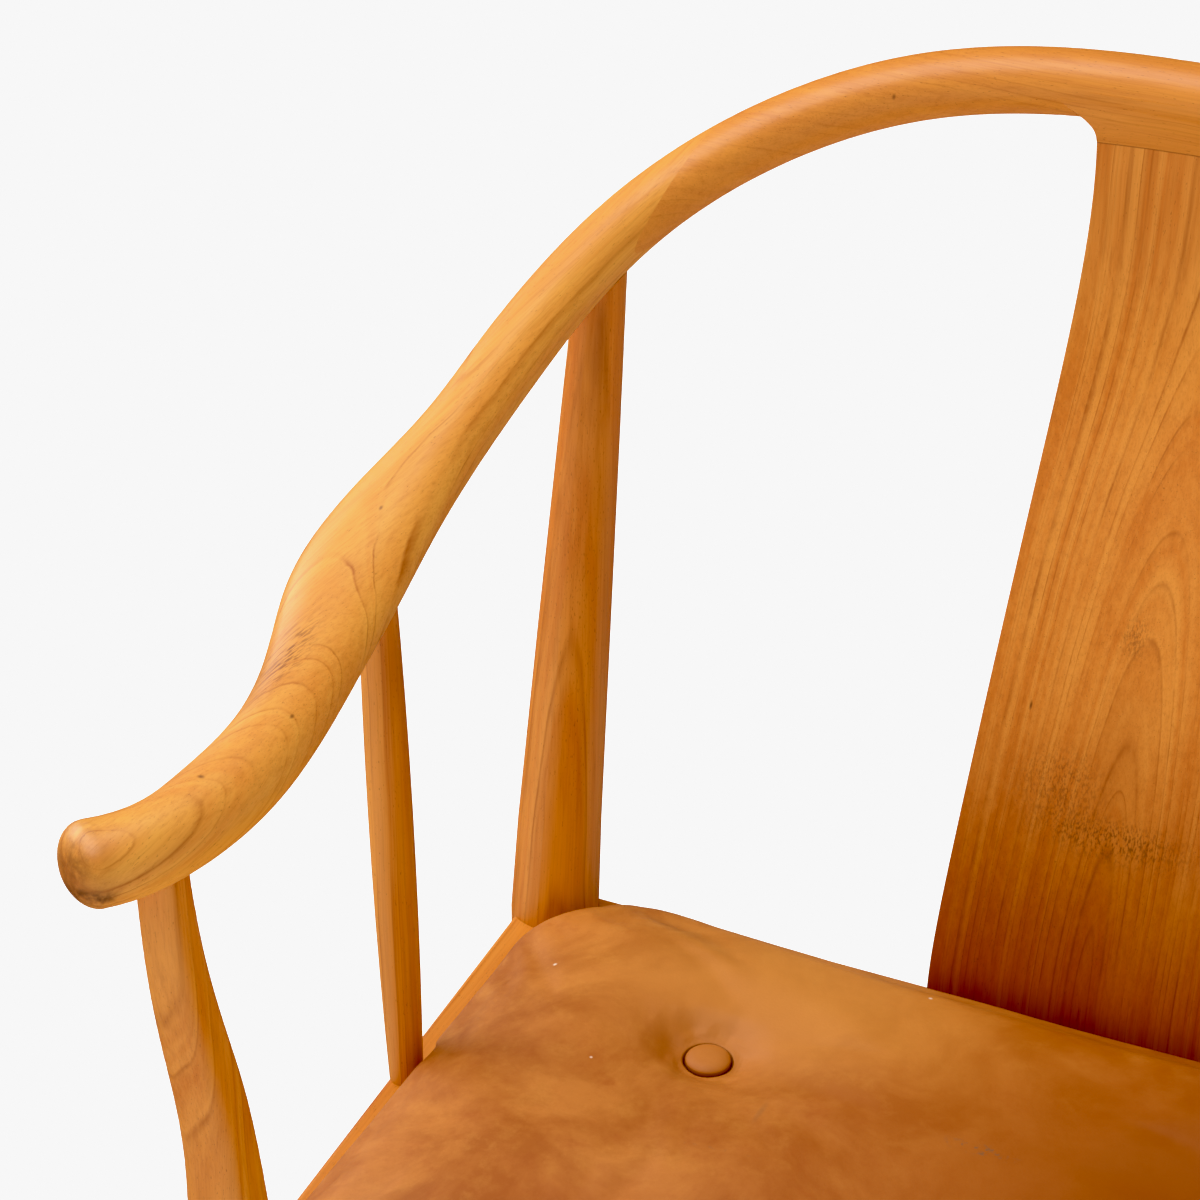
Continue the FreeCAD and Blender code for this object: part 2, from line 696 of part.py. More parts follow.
def make_leg(side_x, side_y, envelope):
    """One leg from glide to bow: straight under the seat, shaped above it."""
    front = side_y < 0
    rows = front_leg_line(side_x) if front else back_leg_line(side_x)
    outline = rounded_square if front else level_ring
    foot = Vector(rows[0][0].x, rows[0][0].y, size("glide_tall"))
    knee = Vector(foot.x, foot.y, size("seat_height") - size("rail_tall"))
    foot_size = size("front_leg_foot_half") if front else size("back_leg_foot_radius")
    lower = loft([outline(foot, foot_size), outline(knee, rows[0][1])], ruled=True)
    block = loft([outline(knee, rows[0][1]), outline(*rows[0])], ruled=True)
    upper = loft([outline(*row) for row in rows], ruled=not front)
    top, way = leg_top(rows)
    leg = lower.fuse([block, upper]).cut(envelope)
    leg = max(leg.Solids, key=lambda solid: solid.Volume)
    leg = leg.fuse(leg_tenon(top, way))
    reach = front_leg_reach if front else back_leg_radius_at
    return leg.cut(leg_cuts(side_x, side_y, reach)).removeSplitter()


# The bow's three pieces

def scarf_frame(side):
    """Middle of a scarf joint, the bow's way there, and the square to the cut."""
    point, way = bow_place(size("scarf_y"), side)
    square = FreeCAD.Rotation(UP, side * size("scarf_angle")).multVec(way)
    return point, way, square


def scarf_face(side):
    """Slanting cut between crest and arm, just larger than the bow there."""
    point, way, square = scarf_frame(side)
    square.z = 0
    square.normalize()
    along = UP.cross(square)
    half_long = SCARF_REACH_SHARES[0] * size("bow_thick")
    half_tall = SCARF_REACH_SHARES[1] * size("bow_thick")
    corners = []
    for a, b in ((-1, -1), (1, -1), (1, 1), (-1, 1), (-1, -1)):
        corners.append(point + along * (a * half_long) + UP * (b * half_tall))
    return Part.Face(Part.makePolygon(corners))


def scarf_dowel(side, gap=0):
    point, way, square = scarf_frame(side)
    long = size("dowel_long") + (2 * size("end_gap") if gap else 0)
    return Part.makeCylinder(size("dowel_radius") + gap, long, point - way * (long / 2), way)


def spindle_frame(side):
    """Foot of a side spindle, the way it points and its length to the bow's middle."""
    foot = Vector(
        side * (size("leg_x") + size("spindle_outset")),
        size("spindle_foot_y"),
        size("seat_height") + size("spindle_shoulder_gap"),
    )
    top = bow_place(size("spindle_top_y"), side)[0]
    return foot, (top - foot).normalize(), (top - foot).Length


def spindle_socket(side):
    foot, way, long = spindle_frame(side)
    radius = size("spindle_top_radius") + size("fit_gap")
    start = foot + way * (long - size("bow_thick"))
    return Part.makeCylinder(radius, size("bow_thick") + size("end_gap"), start, way)


def make_bow_pieces():
    whole = bow_blank().fuse(make_lobe())
    faces = [scarf_face(side) for side in (-1, 1)]
    solids = whole.generalFuse(faces)[0].Solids
    arm_left, crest, arm_right = sorted(solids, key=lambda solid: solid.CenterOfMass.x)
    gap = size("fit_gap")
    crest = crest.cut([splat_tongue(True, gap), scarf_dowel(-1, gap), scarf_dowel(1, gap)])
    arms = {}
    for side, arm in ((-1, arm_left), (1, arm_right)):
        cuts = [scarf_dowel(side, gap), spindle_socket(side)]
        for rows in (front_leg_line(side), back_leg_line(side)):
            cuts.append(leg_tenon(*leg_top(rows), gap))
        arms[side] = arm.cut(cuts)
    return crest, arms


crest_shape, arm_shapes = make_bow_pieces()
new_form("crest_rail", crest_shape)
new_form("left_arm", arm_shapes[-1])
new_form("right_arm", arm_shapes[1])
bow_envelope = bow_blank(size("fit_gap"))
for side_x, side_name in ((-1, "left"), (1, "right")):
    new_form("front_%s_leg" % side_name, make_leg(side_x, -1, bow_envelope))
    new_form("back_%s_leg" % side_name, make_leg(side_x, 1, bow_envelope))
new_form("splat", make_splat())


# Dowels in the scarf joints

def make_dowel(label, side):
    body = new_body(label)
    revolve(body, [
        ("0", "-Sizes.dowel_long / 2"),
        ("Sizes.dowel_radius", "-Sizes.dowel_long / 2"),
        ("Sizes.dowel_radius", "Sizes.dowel_long / 2"),
        ("0", "Sizes.dowel_long / 2"),
    ])
    point, way, square = scarf_frame(side)
    body.Placement = FreeCAD.Placement(point, FreeCAD.Rotation(UP, way))


make_dowel("left_scarf_dowel", -1)
make_dowel("right_scarf_dowel", 1)


# Side spindles, turned with a slight swell

derive("spindle_long", spindle_frame(-1)[2])


def make_spindle(label, side):
    body = new_body(label)
    shaft = "(Sizes.spindle_long - Sizes.spindle_housing)"
    swell = "pow(%s / 2; 2) / (2 * Sizes.spindle_bulge) + Sizes.spindle_bulge / 2" % shaft
    revolve(body, [
        ("0", "-Sizes.spindle_tenon_long"),
        ("Sizes.spindle_tenon_radius", "-Sizes.spindle_tenon_long"),
        ("Sizes.spindle_tenon_radius", "0"),
        ("Sizes.spindle_foot_radius", "0", swell, -1),
        ("Sizes.spindle_top_radius", shaft),
        ("Sizes.spindle_top_radius", "Sizes.spindle_long"),
        ("0", "Sizes.spindle_long"),
    ])
    foot, way, long = spindle_frame(side)
    body.Placement = FreeCAD.Placement(foot, FreeCAD.Rotation(UP, way))


make_spindle("left_side_spindle", -1)
make_spindle("right_side_spindle", 1)


# Rails and stretchers: bars along their own X axis between two legs

FRONT_FLAT = "Sizes.front_leg_half"
SEAT_MIDDLE_Y = "(Sizes.front_leg_y + Sizes.back_leg_y) / 2"
HALF_DEPTH = "(Sizes.back_leg_y - Sizes.front_leg_y) / 2"
RAIL_Z = "Sizes.seat_height - Sizes.rail_tall / 2"
LOWER_LEG = "(Sizes.seat_height - Sizes.rail_tall - Sizes.glide_tall)"


def leg_size_text(kind, height):
    """Expression for a leg's half side or radius under the seat at a height."""
    foot, seat = ("front_leg_foot_half", "front_leg_half")
    if kind == "round":
        foot, seat = ("back_leg_foot_radius", "back_leg_radius")
    share = "(%s - Sizes.glide_tall) / %s" % (height, LOWER_LEG)
    return "Sizes.%s + (Sizes.%s - Sizes.%s) * %s" % (foot, seat, foot, share)


class Bar:
    """Sizes of a bar as expressions: its section, tenons, and the legs it joins."""

    def __init__(self, label, half_span, near, far, tenon, section, arris):
        self.label = label
        self.half_span = half_span
        self.near_kind, self.near_size = near
        self.far_kind, self.far_size = far
        self.tenon_thick, self.tenon_tall, self.tenon_lift = tenon
        self.thick, self.tall = section
        self.arris = arris

    def shoulder(self, kind, leg_size):
        """Where the blank ends: at a flat face, or on a round leg's middle line."""
        if kind == "flat":
            return "%s - (%s) - Sizes.fit_gap" % (self.half_span, leg_size)
        return self.half_span

    def tenon_end(self, leg_size):
        return "%s - (%s) + Sizes.tenon_long" % (self.half_span, leg_size)


def make_bar(bar, arris_test):
    body = new_body(bar.label)
    section = new_sketch(body, "YZ_Plane", "section")
    draw_box(section, bar.thick + " / 2", bar.tall + " / 2")
    far = bar.shoulder(bar.far_kind, bar.far_size)
    near = bar.shoulder(bar.near_kind, bar.near_size)
    pad(body, section, far, behind=near)
    round_edges(body, "arris", bar.arris, arris_test)
    ends = ((bar.far_kind, bar.far_size, ""), (bar.near_kind, bar.near_size, "-"))
    for kind, leg_size, sign in ends:
        if kind == "round":
            cope = new_sketch(body, "XY_Plane", "cope" + ("_near" if sign else "_far"))
            middle = "%s(%s)" % (sign, bar.half_span)
            draw_circle(cope, middle, "0", "%s + Sizes.fit_gap" % leg_size)
            pocket(body, cope)
    tenon = new_sketch(body, "YZ_Plane", "tenon")
    draw_box(tenon, bar.tenon_thick + " / 2", bar.tenon_tall + " / 2", "0", bar.tenon_lift)
    pad(body, tenon, bar.tenon_end(bar.far_size), behind=bar.tenon_end(bar.near_size))
    return body


def along_bar(edge):
    """Edge that runs the whole length of a bar."""
    box = edge.BoundBox
    return box.XLength > 10 * max(box.YLength, box.ZLength, size("fit_gap"))


def top_arris(edge):
    return along_bar(edge) and edge.CenterOfMass.z > 0


def groove_under(body, long_text):
    """Groove in a rail's underside for the tongue of its apron."""
    groove = new_sketch(body, "XY_Plane", "groove", "-Sizes.rail_tall / 2 + Sizes.apron_tongue_tall + Sizes.end_gap")
    draw_box(groove, long_text + " + Sizes.end_gap", "Sizes.apron_tongue_thick / 2 + Sizes.fit_gap")
    pocket(body, groove, "Sizes.apron_tongue_tall + Sizes.end_gap + Sizes.overrun")


RAIL_SECTION = ("Sizes.rail_thick", "Sizes.rail_tall")
STRETCHER_SECTION = ("Sizes.stretcher_thick", "Sizes.stretcher_tall")
RAIL_TENON = ("Sizes.rail_tenon_thick", "Sizes.rail_tenon_tall")
STRETCHER_TENON = ("Sizes.stretcher_tenon_thick", "Sizes.stretcher_tenon_tall", "0")
FLAT_RAIL = ("flat", FRONT_FLAT)
ROUND_RAIL = ("round", "Sizes.back_leg_radius")
ACROSS_TONGUE = "Sizes.leg_x - Sizes.back_leg_radius - Sizes.apron_foot"
ALONG_TONGUE = HALF_DEPTH + " - Sizes.back_leg_radius - Sizes.apron_foot"


def cut_splat_groove(body):
    """Groove in the back rail's top for the splat's lower tongue."""
    groove = new_sketch(body, "XY_Plane", "splat_groove", "Sizes.rail_tall / 2 + Sizes.overrun")
    middle = "Sizes.splat_foot_y + Sizes.splat_thick / 2 - Sizes.back_leg_y"
    half_wide = "Sizes.splat_foot_half - Sizes.tongue_inset + Sizes.fit_gap"
    half_thick = "Sizes.tongue_thick / 2 + Sizes.splat_dish * %s + Sizes.fit_gap" % SPLAT_SHARES[0][3]
    draw_box(groove, half_wide, half_thick, "0", middle)
    pocket(body, groove, "Sizes.tongue_tall + Sizes.end_gap + Sizes.overrun")


def cut_spindle_hole(body, side):
    """Hole in a side rail's top for the spindle's tenon."""
    hole = new_sketch(body, "XY_Plane", "spindle_hole", "Sizes.rail_tall / 2 + Sizes.overrun")
    along = "Sizes.spindle_foot_y - " + SEAT_MIDDLE_Y
    outwards = "%sSizes.spindle_outset" % sign_text(-side)
    draw_circle(hole, along, outwards, "Sizes.spindle_tenon_radius + Sizes.spindle_hole_gap")
    pocket(body, hole, "Sizes.spindle_tenon_long + Sizes.end_gap + Sizes.overrun")


def make_rails():
    upper_tenon = RAIL_TENON + ("Sizes.rail_tenon_offset",)
    lower_tenon = RAIL_TENON + ("-Sizes.rail_tenon_offset",)
    front = make_bar(Bar("front_rail", "Sizes.leg_x", FLAT_RAIL, FLAT_RAIL, upper_tenon,
                         RAIL_SECTION, "Sizes.rail_arris"), top_arris)
    place(front, "0", "Sizes.front_leg_y", RAIL_Z)
    back = make_bar(Bar("back_rail", "Sizes.leg_x", ROUND_RAIL, ROUND_RAIL, upper_tenon,
                        RAIL_SECTION, "Sizes.rail_arris"), top_arris)
    place(back, "0", "Sizes.back_leg_y", RAIL_Z)
    cut_splat_groove(back)
    for body in (front, back):
        groove_under(body, ACROSS_TONGUE)
    for side, name in ((-1, "left"), (1, "right")):
        rail = make_bar(Bar(name + "_rail", HALF_DEPTH, FLAT_RAIL, ROUND_RAIL, lower_tenon,
                            RAIL_SECTION, "Sizes.rail_arris"), top_arris)
        # Turned a quarter, the bar's own Y points to the chair's left
        cut_spindle_hole(rail, side)
        groove_under(rail, ALONG_TONGUE)
        place(rail, "%sSizes.leg_x" % sign_text(side), SEAT_MIDDLE_Y, RAIL_Z, turned=1)


def make_stretcher(label, half_span, near, far, height, spot, turned):
    # Legs widen upwards, so the shoulders are fitted at the stretcher's top
    top = height + " + Sizes.stretcher_tall / 2"
    ends = [(kind, leg_size_text(kind, top)) for kind in (near, far)]
    bar = Bar(label, half_span, ends[0], ends[1], STRETCHER_TENON, STRETCHER_SECTION, "Sizes.stretcher_arris")
    body = make_bar(bar, along_bar)
    place(body, spot[0], spot[1], height, turned)


def make_stretchers():
    make_stretcher("front_stretcher", "Sizes.leg_x", "flat", "flat",
                   "Sizes.front_stretcher_z", ("0", "Sizes.front_leg_y"), 0)
    make_stretcher("back_stretcher", "Sizes.leg_x", "round", "round",
                   "Sizes.back_stretcher_z", ("0", "Sizes.back_leg_y"), 0)
    for side, name in ((-1, "left"), (1, "right")):
        make_stretcher(name + "_stretcher", HALF_DEPTH, "flat", "round",
                       "Sizes.side_stretcher_z", (sign_text(side) + "Sizes.leg_x", SEAT_MIDDLE_Y), 1)


make_rails()
make_stretchers()


# Aprons: thin arched boards, tongued into the rails' undersides

def make_apron(label, half_span, near, far, spot, turned):
    """Apron between legs whose faces stand `near` and `far` from their middles."""
    body = new_body(label)
    outline = new_sketch(body, "XZ_Plane", "arch")
    left = "-(%s) + %s + Sizes.fit_gap" % (half_span, near)
    right = "%s - %s - Sizes.fit_gap" % (half_span, far)
    low = "-Sizes.apron_drop"
    band = "-Sizes.apron_band"
    arch = "Sizes.apron_drop - Sizes.apron_band"
    draw_outline(outline, [
        (left, "0"),
        (left, low),
        (left + " + Sizes.apron_foot", low, arch, 1),
        (left + " + Sizes.apron_foot + " + arch, band),
        (right + " - Sizes.apron_foot - (" + arch + ")", band, arch, 1),
        (right + " - Sizes.apron_foot", low),
        (right, low),
        (right, "0"),
    ])
    pad(body, outline, "Sizes.apron_thick", centred=True)
    tongue = new_sketch(body, "XY_Plane", "tongue")
    reach = ACROSS_TONGUE if turned == 0 else ALONG_TONGUE
    draw_box(tongue, reach, "Sizes.apron_tongue_thick / 2")
    pad(body, tongue, "Sizes.apron_tongue_tall")
    place(body, spot[0], spot[1], "Sizes.seat_height - Sizes.rail_tall", turned)


make_apron("front_apron", "Sizes.leg_x", FRONT_FLAT, FRONT_FLAT, ("0", "Sizes.front_leg_y"), 0)
make_apron("back_apron", "Sizes.leg_x", "Sizes.back_leg_radius", "Sizes.back_leg_radius",
           ("0", "Sizes.back_leg_y"), 0)
for side_x, side_name in ((-1, "left"), (1, "right")):
    make_apron(side_name + "_apron", HALF_DEPTH, FRONT_FLAT, "Sizes.back_leg_radius",
               (sign_text(side_x) + "Sizes.leg_x", SEAT_MIDDLE_Y), 1)


# Seat panel on four corner blocks, held by countersunk screws

INNER_X = "Sizes.leg_x - Sizes.rail_thick / 2"
INNER_FRONT = "Sizes.front_leg_y + Sizes.rail_thick / 2"
INNER_BACK = "Sizes.back_leg_y - Sizes.rail_thick / 2"


def make_seat_panel():
    body = new_body("seat_panel")
    outline = new_sketch(body, "XY_Plane", "outline")
    right = "%s - Sizes.panel_gap" % INNER_X
    left = "-(%s)" % right
    front = "%s + Sizes.panel_gap" % INNER_FRONT
    back = "%s - Sizes.panel_gap" % INNER_BACK
    cut = "Sizes.panel_corner"
    draw_outline(outline, [
        ("%s + %s" % (left, cut), front), ("%s - %s" % (right, cut), front),
        (right, "%s + %s" % (front, cut)), (right, "%s - %s" % (back, cut)),
        ("%s - %s" % (right, cut), back), ("%s + %s" % (left, cut), back),
        (left, "%s - %s" % (back, cut)), (left, "%s + %s" % (front, cut)),
    ])
    pad(body, outline, "Sizes.panel_thick")
    holes = new_sketch(body, "XY_Plane", "holes")
    for side_x in (-1, 1):
        for side_y in (-1, 1):
            draw_circle(holes, *screw_spot(side_x, side_y), "Sizes.screw_shank_radius + Sizes.fit_gap")
    pocket(body, holes)
    base = body.Tip
    rims = []
    for i, edge in enumerate(base.Shape.Edges):
        if isinstance(edge.Curve, Part.Circle) and edge.CenterOfMass.z > size("panel_thick") / 2:
            rims.append("Edge%d" % (i + 1))
    sink = body.newObject("PartDesign::Chamfer", "seat_panel_countersinks")
    sink.Base = (base, rims)
    sink.setExpression("Size", "Sizes.screw_head_radius - Sizes.screw_shank_radius")
    place(body, "0", "0", "Sizes.seat_height - Sizes.panel_thick")
    doc.recompute()


def screw_spot(side_x, side_y):
    """Place of a seat panel screw as two expressions."""
    x_text = "%s(%s - Sizes.screw_inset)" % (sign_text(side_x), INNER_X)
    if side_y < 0:
        return x_text, "%s + Sizes.screw_inset" % INNER_FRONT
    return x_text, "%s - Sizes.screw_inset" % INNER_BACK


def make_corner_block(label, side_x, side_y):
    """Block with one corner cut off to clear the leg, and a pilot hole."""
    body = new_body(label)
    outline = new_sketch(body, "XY_Plane", "outline")

    def spot(in_x, in_y):
        x_text = "%s(%s - %s)" % (sign_text(side_x), INNER_X, in_x)
        wall = INNER_FRONT if side_y < 0 else INNER_BACK
        return x_text, "%s %s %s" % (wall, "+" if side_y < 0 else "-", in_y)

    flush, corner, far = "Sizes.fit_gap", "Sizes.block_corner", "Sizes.block_long"
    draw_outline(outline, [spot(corner, flush), spot(far, flush), spot(flush, far), spot(flush, corner)])
    pad(body, outline, "Sizes.block_tall")
    hole = new_sketch(body, "XY_Plane", "pilot")
    draw_circle(hole, *screw_spot(side_x, side_y), "Sizes.screw_shank_radius + Sizes.fit_gap")
    pocket(body, hole)
    place(body, "0", "0", "Sizes.seat_height - Sizes.panel_thick - Sizes.block_tall")


def make_panel_screws():
    """Four like screws as one group of separate solids."""
    screw = new_body("panel_screw_pattern")
    revolve(screw, [
        ("0", "0"),
        ("0", "-Sizes.screw_long"),
        ("Sizes.screw_shank_radius", "-Sizes.screw_long"),
        ("Sizes.screw_shank_radius", "Sizes.screw_shank_radius + Sizes.fit_gap - Sizes.screw_head_radius"),
        ("Sizes.screw_head_radius - Sizes.fit_gap", "0"),
    ])
    copies = []
    for side_x in (-1, 1):
        for side_y in (-1, 1):
            x_text, y_text = screw_spot(side_x, side_y)
            spot = Vector(worth(x_text), worth(y_text), size("seat_height") - size("fit_gap"))
            copies.append(screw.Shape.translated(spot))
    new_form("seat_panel_screws", Part.makeCompound(copies))


make_seat_panel()
for side_x, side_name in ((-1, "left"), (1, "right")):
    make_corner_block("front_%s_corner_block" % side_name, side_x, -1)
    make_corner_block("back_%s_corner_block" % side_name, side_x, 1)
make_panel_screws()


# Glides nailed under the feet

def make_glide(label, side_x, y_text):
    body = new_body(label)
    revolve(body, [
        ("0", "0"),
        ("Sizes.glide_radius - Sizes.glide_tall / 3", "0"),
        ("Sizes.glide_radius", "Sizes.glide_tall / 3"),
        ("Sizes.glide_radius", "Sizes.glide_tall"),
        ("Sizes.glide_pin_radius", "Sizes.glide_tall"),
        ("Sizes.glide_pin_radius", "Sizes.glide_tall + Sizes.glide_pin_long"),
        ("0", "Sizes.glide_tall + Sizes.glide_pin_long"),
    ])
    place(body, sign_text(side_x) + "Sizes.leg_x", y_text, "0")


for side_x, side_name in ((-1, "left"), (1, "right")):
    make_glide("front_%s_glide" % side_name, side_x, "Sizes.front_leg_y")
    make_glide("back_%s_glide" % side_name, side_x, "Sizes.back_leg_y")


# Loose cushion with its crown, drawn-in sides, front notches and four tufts

cushion_back_y = size("splat_foot_y") - size("cushion_gap")
cushion_front_y = size("front_leg_y") - size("cushion_forward")
cushion_bottom = size("seat_height") + size("cushion_gap")
cushion_half_deep = (cushion_back_y - cushion_front_y) / 2


def cushion_corners(inset):
    """Corners of the cushion's outline before rounding, drawn in by an inset."""
    front_half = size("leg_x") + size("cushion_outset") - inset
    back_half = front_half - size("cushion_taper")
    front = cushion_front_y + inset
    back = cushion_back_y - inset
    return [(back_half, back), (-back_half, back), (-front_half, front), (front_half, front)]


def cushion_outline(inset_share, level):
    """Rounded outline, its four sides drawn in between the corners."""
    corners = cushion_corners(inset_share * cushion_half_deep)
    shrink = 1 - CUSHION_CORNER_SHRINK_SHARE * inset_share
    back_r = size("cushion_back_corner") * shrink
    front_r = size("cushion_front_corner") * shrink
    radii = [back_r, back_r, front_r, front_r]
    draws = [size("cushion_end_draw"), size("cushion_side_draw")]
    edges = []
    for i in range(4):
        onwards = FreeCAD.Rotation(UP, 90 * i).multVec(Vector(-1, 0, 0))
        inwards = UP.cross(onwards)
        corner = Vector(*corners[i], level)
        following = Vector(*corners[(i + 1) % 4], level)
        enter = corner + inwards * radii[i]
        leave = corner + onwards * radii[i]
        crown = corner + (onwards + inwards) * radii[i] * (1 - math.sqrt(0.5))
        stop = following - onwards * radii[(i + 1) % 4]
        drawn = (leave + stop) / 2 + inwards * draws[i % 2]
        edges.append(Part.Arc(enter, crown, leave).toShape())
        edges.append(Part.Arc(leave, drawn, stop).toShape())
    return Part.Wire(edges)


def tuft_tool(spot):
    """Turned cutter: a flat seat for the button and a rounded rise round it."""
    seat = size("button_radius") + size("cushion_gap")
    rise, reach = size("tuft_rise"), size("tuft_radius") - seat
    curve = (reach ** 2 + rise ** 2) / (2 * rise)
    base = cushion_bottom + size("tuft_bottom")
    centre = Vector(size("tuft_radius"), 0, base + rise - curve)
    inner, outer = Vector(seat, 0, base), Vector(size("tuft_radius"), 0, base + rise)
    mid_angle = (math.atan2(base - centre.z, seat - centre.x) + math.pi / 2) / 2
    crown = centre + Vector(math.cos(mid_angle), 0, math.sin(mid_angle)) * curve
    roof = Vector(size("tuft_radius"), 0, base + rise + size("overrun"))
    profile = [
        Part.LineSegment(Vector(0, 0, base), inner).toShape(),
        Part.Arc(inner, crown, outer).toShape(),
        Part.LineSegment(outer, roof).toShape(),
        Part.LineSegment(roof, Vector(0, 0, roof.z)).toShape(),
        Part.LineSegment(Vector(0, 0, roof.z), Vector(0, 0, base)).toShape(),
    ]
    cutter = Part.Face(Part.Wire(profile)).revolve(Vector(), UP, 360)
    return cutter.translated(spot)


def front_notch(side):
    """Clearance round a front leg, cut out of the cushion's corner."""
    gap = size("cushion_notch_gap")
    inner = size("leg_x") - size("front_leg_half") - gap
    rear = size("front_leg_y") + size("front_leg_half") + gap
    wide = size("leg_x") + size("cushion_outset") - inner + size("overrun")
    deep = rear - cushion_front_y + size("overrun")
    tall = size("cushion_tall") + 2 * size("overrun")
    low = cushion_bottom - size("overrun")
    start = Vector(inner if side > 0 else -inner - wide, rear - deep, low)
    box = Part.makeBox(wide, deep, tall, start)
    upright = [e for e in box.Edges if e.BoundBox.ZLength > tall / 2]
    inner_edge = min(upright, key=lambda e: abs(e.CenterOfMass.x) - e.CenterOfMass.y)
    return box.makeFillet(size("cushion_notch_radius"), [inner_edge])


def button_spots():
    """Places of the four buttons, with their names."""
    spots = []
    for side, side_name in ((-1, "left"), (1, "right")):
        for row_name in ("back", "front"):
            alias = "button_%s_y" % row_name
            label = "%s_%s_button" % (row_name, side_name)
            spots.append((label, side, alias))
    return spots


def make_cushion():
    sections = []
    for up, inset in CUSHION_SHARES:
        sections.append(cushion_outline(inset, cushion_bottom + up * size("cushion_tall")))
    blank = loft(sections)
    cuts = [front_notch(side) for side in (-1, 1)]
    for label, side, alias in button_spots():
        cuts.append(tuft_tool(Vector(side * size("button_x"), size(alias), 0)))
    return blank.cut(cuts + spindle_grooves())


def spindle_grooves():
    """Hollows beside the leaning spindles, wide enough for the cushion's whole lift."""
    radius = size("spindle_foot_radius") + size("spindle_bulge") + size("cushion_gap")
    passed = size("cushion_tall") + size("cushion_lift")
    grooves = []
    for side in (-1, 1):
        foot, way, long = spindle_frame(side)
        for share in LIFT_SHARES:
            lean = Vector(way.x, way.y, 0) * (share * passed / way.z)
            grooves.append(Part.makeCylinder(radius, 2 * size("cushion_tall"), foot + lean))
    return grooves


def make_button(label, side, alias):
    """Domed button covered in the cushion's leather."""
    body = new_body(label)
    dome = "(pow(Sizes.button_radius; 2) + pow(Sizes.button_tall - Sizes.button_rim; 2))"
    dome += " / (2 * (Sizes.button_tall - Sizes.button_rim))"
    revolve(body, [
        ("0", "0"),
        ("Sizes.button_radius", "0"),
        ("Sizes.button_radius", "Sizes.button_rim", dome, -1),
        ("0", "Sizes.button_tall"),
    ])
    level = "Sizes.seat_height + Sizes.cushion_gap + Sizes.tuft_bottom"
    place(body, sign_text(side) + "Sizes.button_x", "Sizes." + alias, level)


new_form("seat_cushion", make_cushion())
for button_label, button_side, button_alias in button_spots():
    make_button(button_label, button_side, button_alias)


# Checks, then one file for each sub-part

NOT_A_PART = ("panel_screw_pattern",)
doc.recompute()
for item in doc.Objects:
    if "Invalid" in item.State or "Error" in item.State:
        raise ValueError("%s failed: %s" % (item.Name, item.State))
parts = []
for item in doc.Objects:
    alone = item.TypeId == "Part::Feature" or item.TypeId == "PartDesign::Body"
    if alone and item.Label not in NOT_A_PART:
        parts.append(item)
for item in parts:
    if item.Shape.isNull() or not item.Shape.isValid() or not item.Shape.Solids:
        raise ValueError(item.Label + " has no sound solid")

os.makedirs("parts", exist_ok=True)
whole_box = FreeCAD.BoundBox()
for item in parts:
    whole_box.add(item.Shape.BoundBox)
    item.Shape.exportStep("parts/%s.step" % item.Label)
print("%d parts, box %s" % (len(parts), whole_box))
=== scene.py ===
import json
import math
from collections import namedtuple

import bpy
import numpy as np
from bpy.props import FloatProperty, FloatVectorProperty, PointerProperty
from mathutils import Matrix, Vector, noise
from mathutils.bvhtree import BVHTree


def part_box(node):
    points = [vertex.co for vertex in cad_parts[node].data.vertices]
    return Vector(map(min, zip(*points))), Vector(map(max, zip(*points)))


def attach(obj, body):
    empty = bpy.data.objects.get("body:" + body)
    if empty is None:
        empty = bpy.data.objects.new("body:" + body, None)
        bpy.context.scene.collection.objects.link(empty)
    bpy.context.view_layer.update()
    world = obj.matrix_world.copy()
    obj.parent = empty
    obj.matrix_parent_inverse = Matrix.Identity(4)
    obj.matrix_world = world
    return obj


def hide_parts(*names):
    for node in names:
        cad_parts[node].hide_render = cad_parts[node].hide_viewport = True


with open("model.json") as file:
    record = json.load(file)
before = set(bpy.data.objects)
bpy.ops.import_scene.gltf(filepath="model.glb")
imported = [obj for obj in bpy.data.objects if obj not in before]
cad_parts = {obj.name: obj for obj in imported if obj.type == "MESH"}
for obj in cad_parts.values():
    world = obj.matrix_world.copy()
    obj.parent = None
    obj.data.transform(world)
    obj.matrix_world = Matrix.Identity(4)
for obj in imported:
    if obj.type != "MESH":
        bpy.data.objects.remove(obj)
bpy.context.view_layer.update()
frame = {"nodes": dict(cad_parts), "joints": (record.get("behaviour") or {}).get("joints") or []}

bl_info = {
    "name": "Horseshoe back armchair",
    "version": (1, 0, 0),
    "blender": (4, 5, 0),
    "location": "View3D > Sidebar > Armchair",
    "description": "Finishes a lacquered cherry armchair and sews its tufted leather cushion",
    "category": "Object",
}

CUSHION_LOW, CUSHION_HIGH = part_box("seat_cushion")
SPLAT_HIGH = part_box("splat")[1]
# The splat's tongue stands 8 mm above its seam under the crest
SPLAT_SEAM = SPLAT_HIGH.z - 0.008
SEAM_LINE = 0.0006
BUTTONS = ("back_left_button", "back_right_button", "front_left_button", "front_right_button")
# The leather draws a button in a little
BUTTON_RADIUS = 0.92 * (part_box(BUTTONS[0])[1].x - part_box(BUTTONS[0])[0].x) / 2
WOOD_BESIDE = ("splat", "back_left_leg", "back_right_leg", "front_left_leg", "front_right_leg",
               "left_side_spindle", "right_side_spindle")


def linear(code):
    """sRGB hex colour as linear red, green and blue."""
    shares = [int(code[i:i + 2], 16) / 255 for i in (1, 3, 5)]
    return [s / 12.92 if s <= 0.04045 else ((s + 0.055) / 1.055) ** 2.4 for s in shares]


def colour(name, description, code):
    """Property that holds an opaque colour."""
    return FloatVectorProperty(
        name=name, description=description, subtype="COLOR", size=4, min=0, max=1,
        default=(*linear(code), 1),
    )


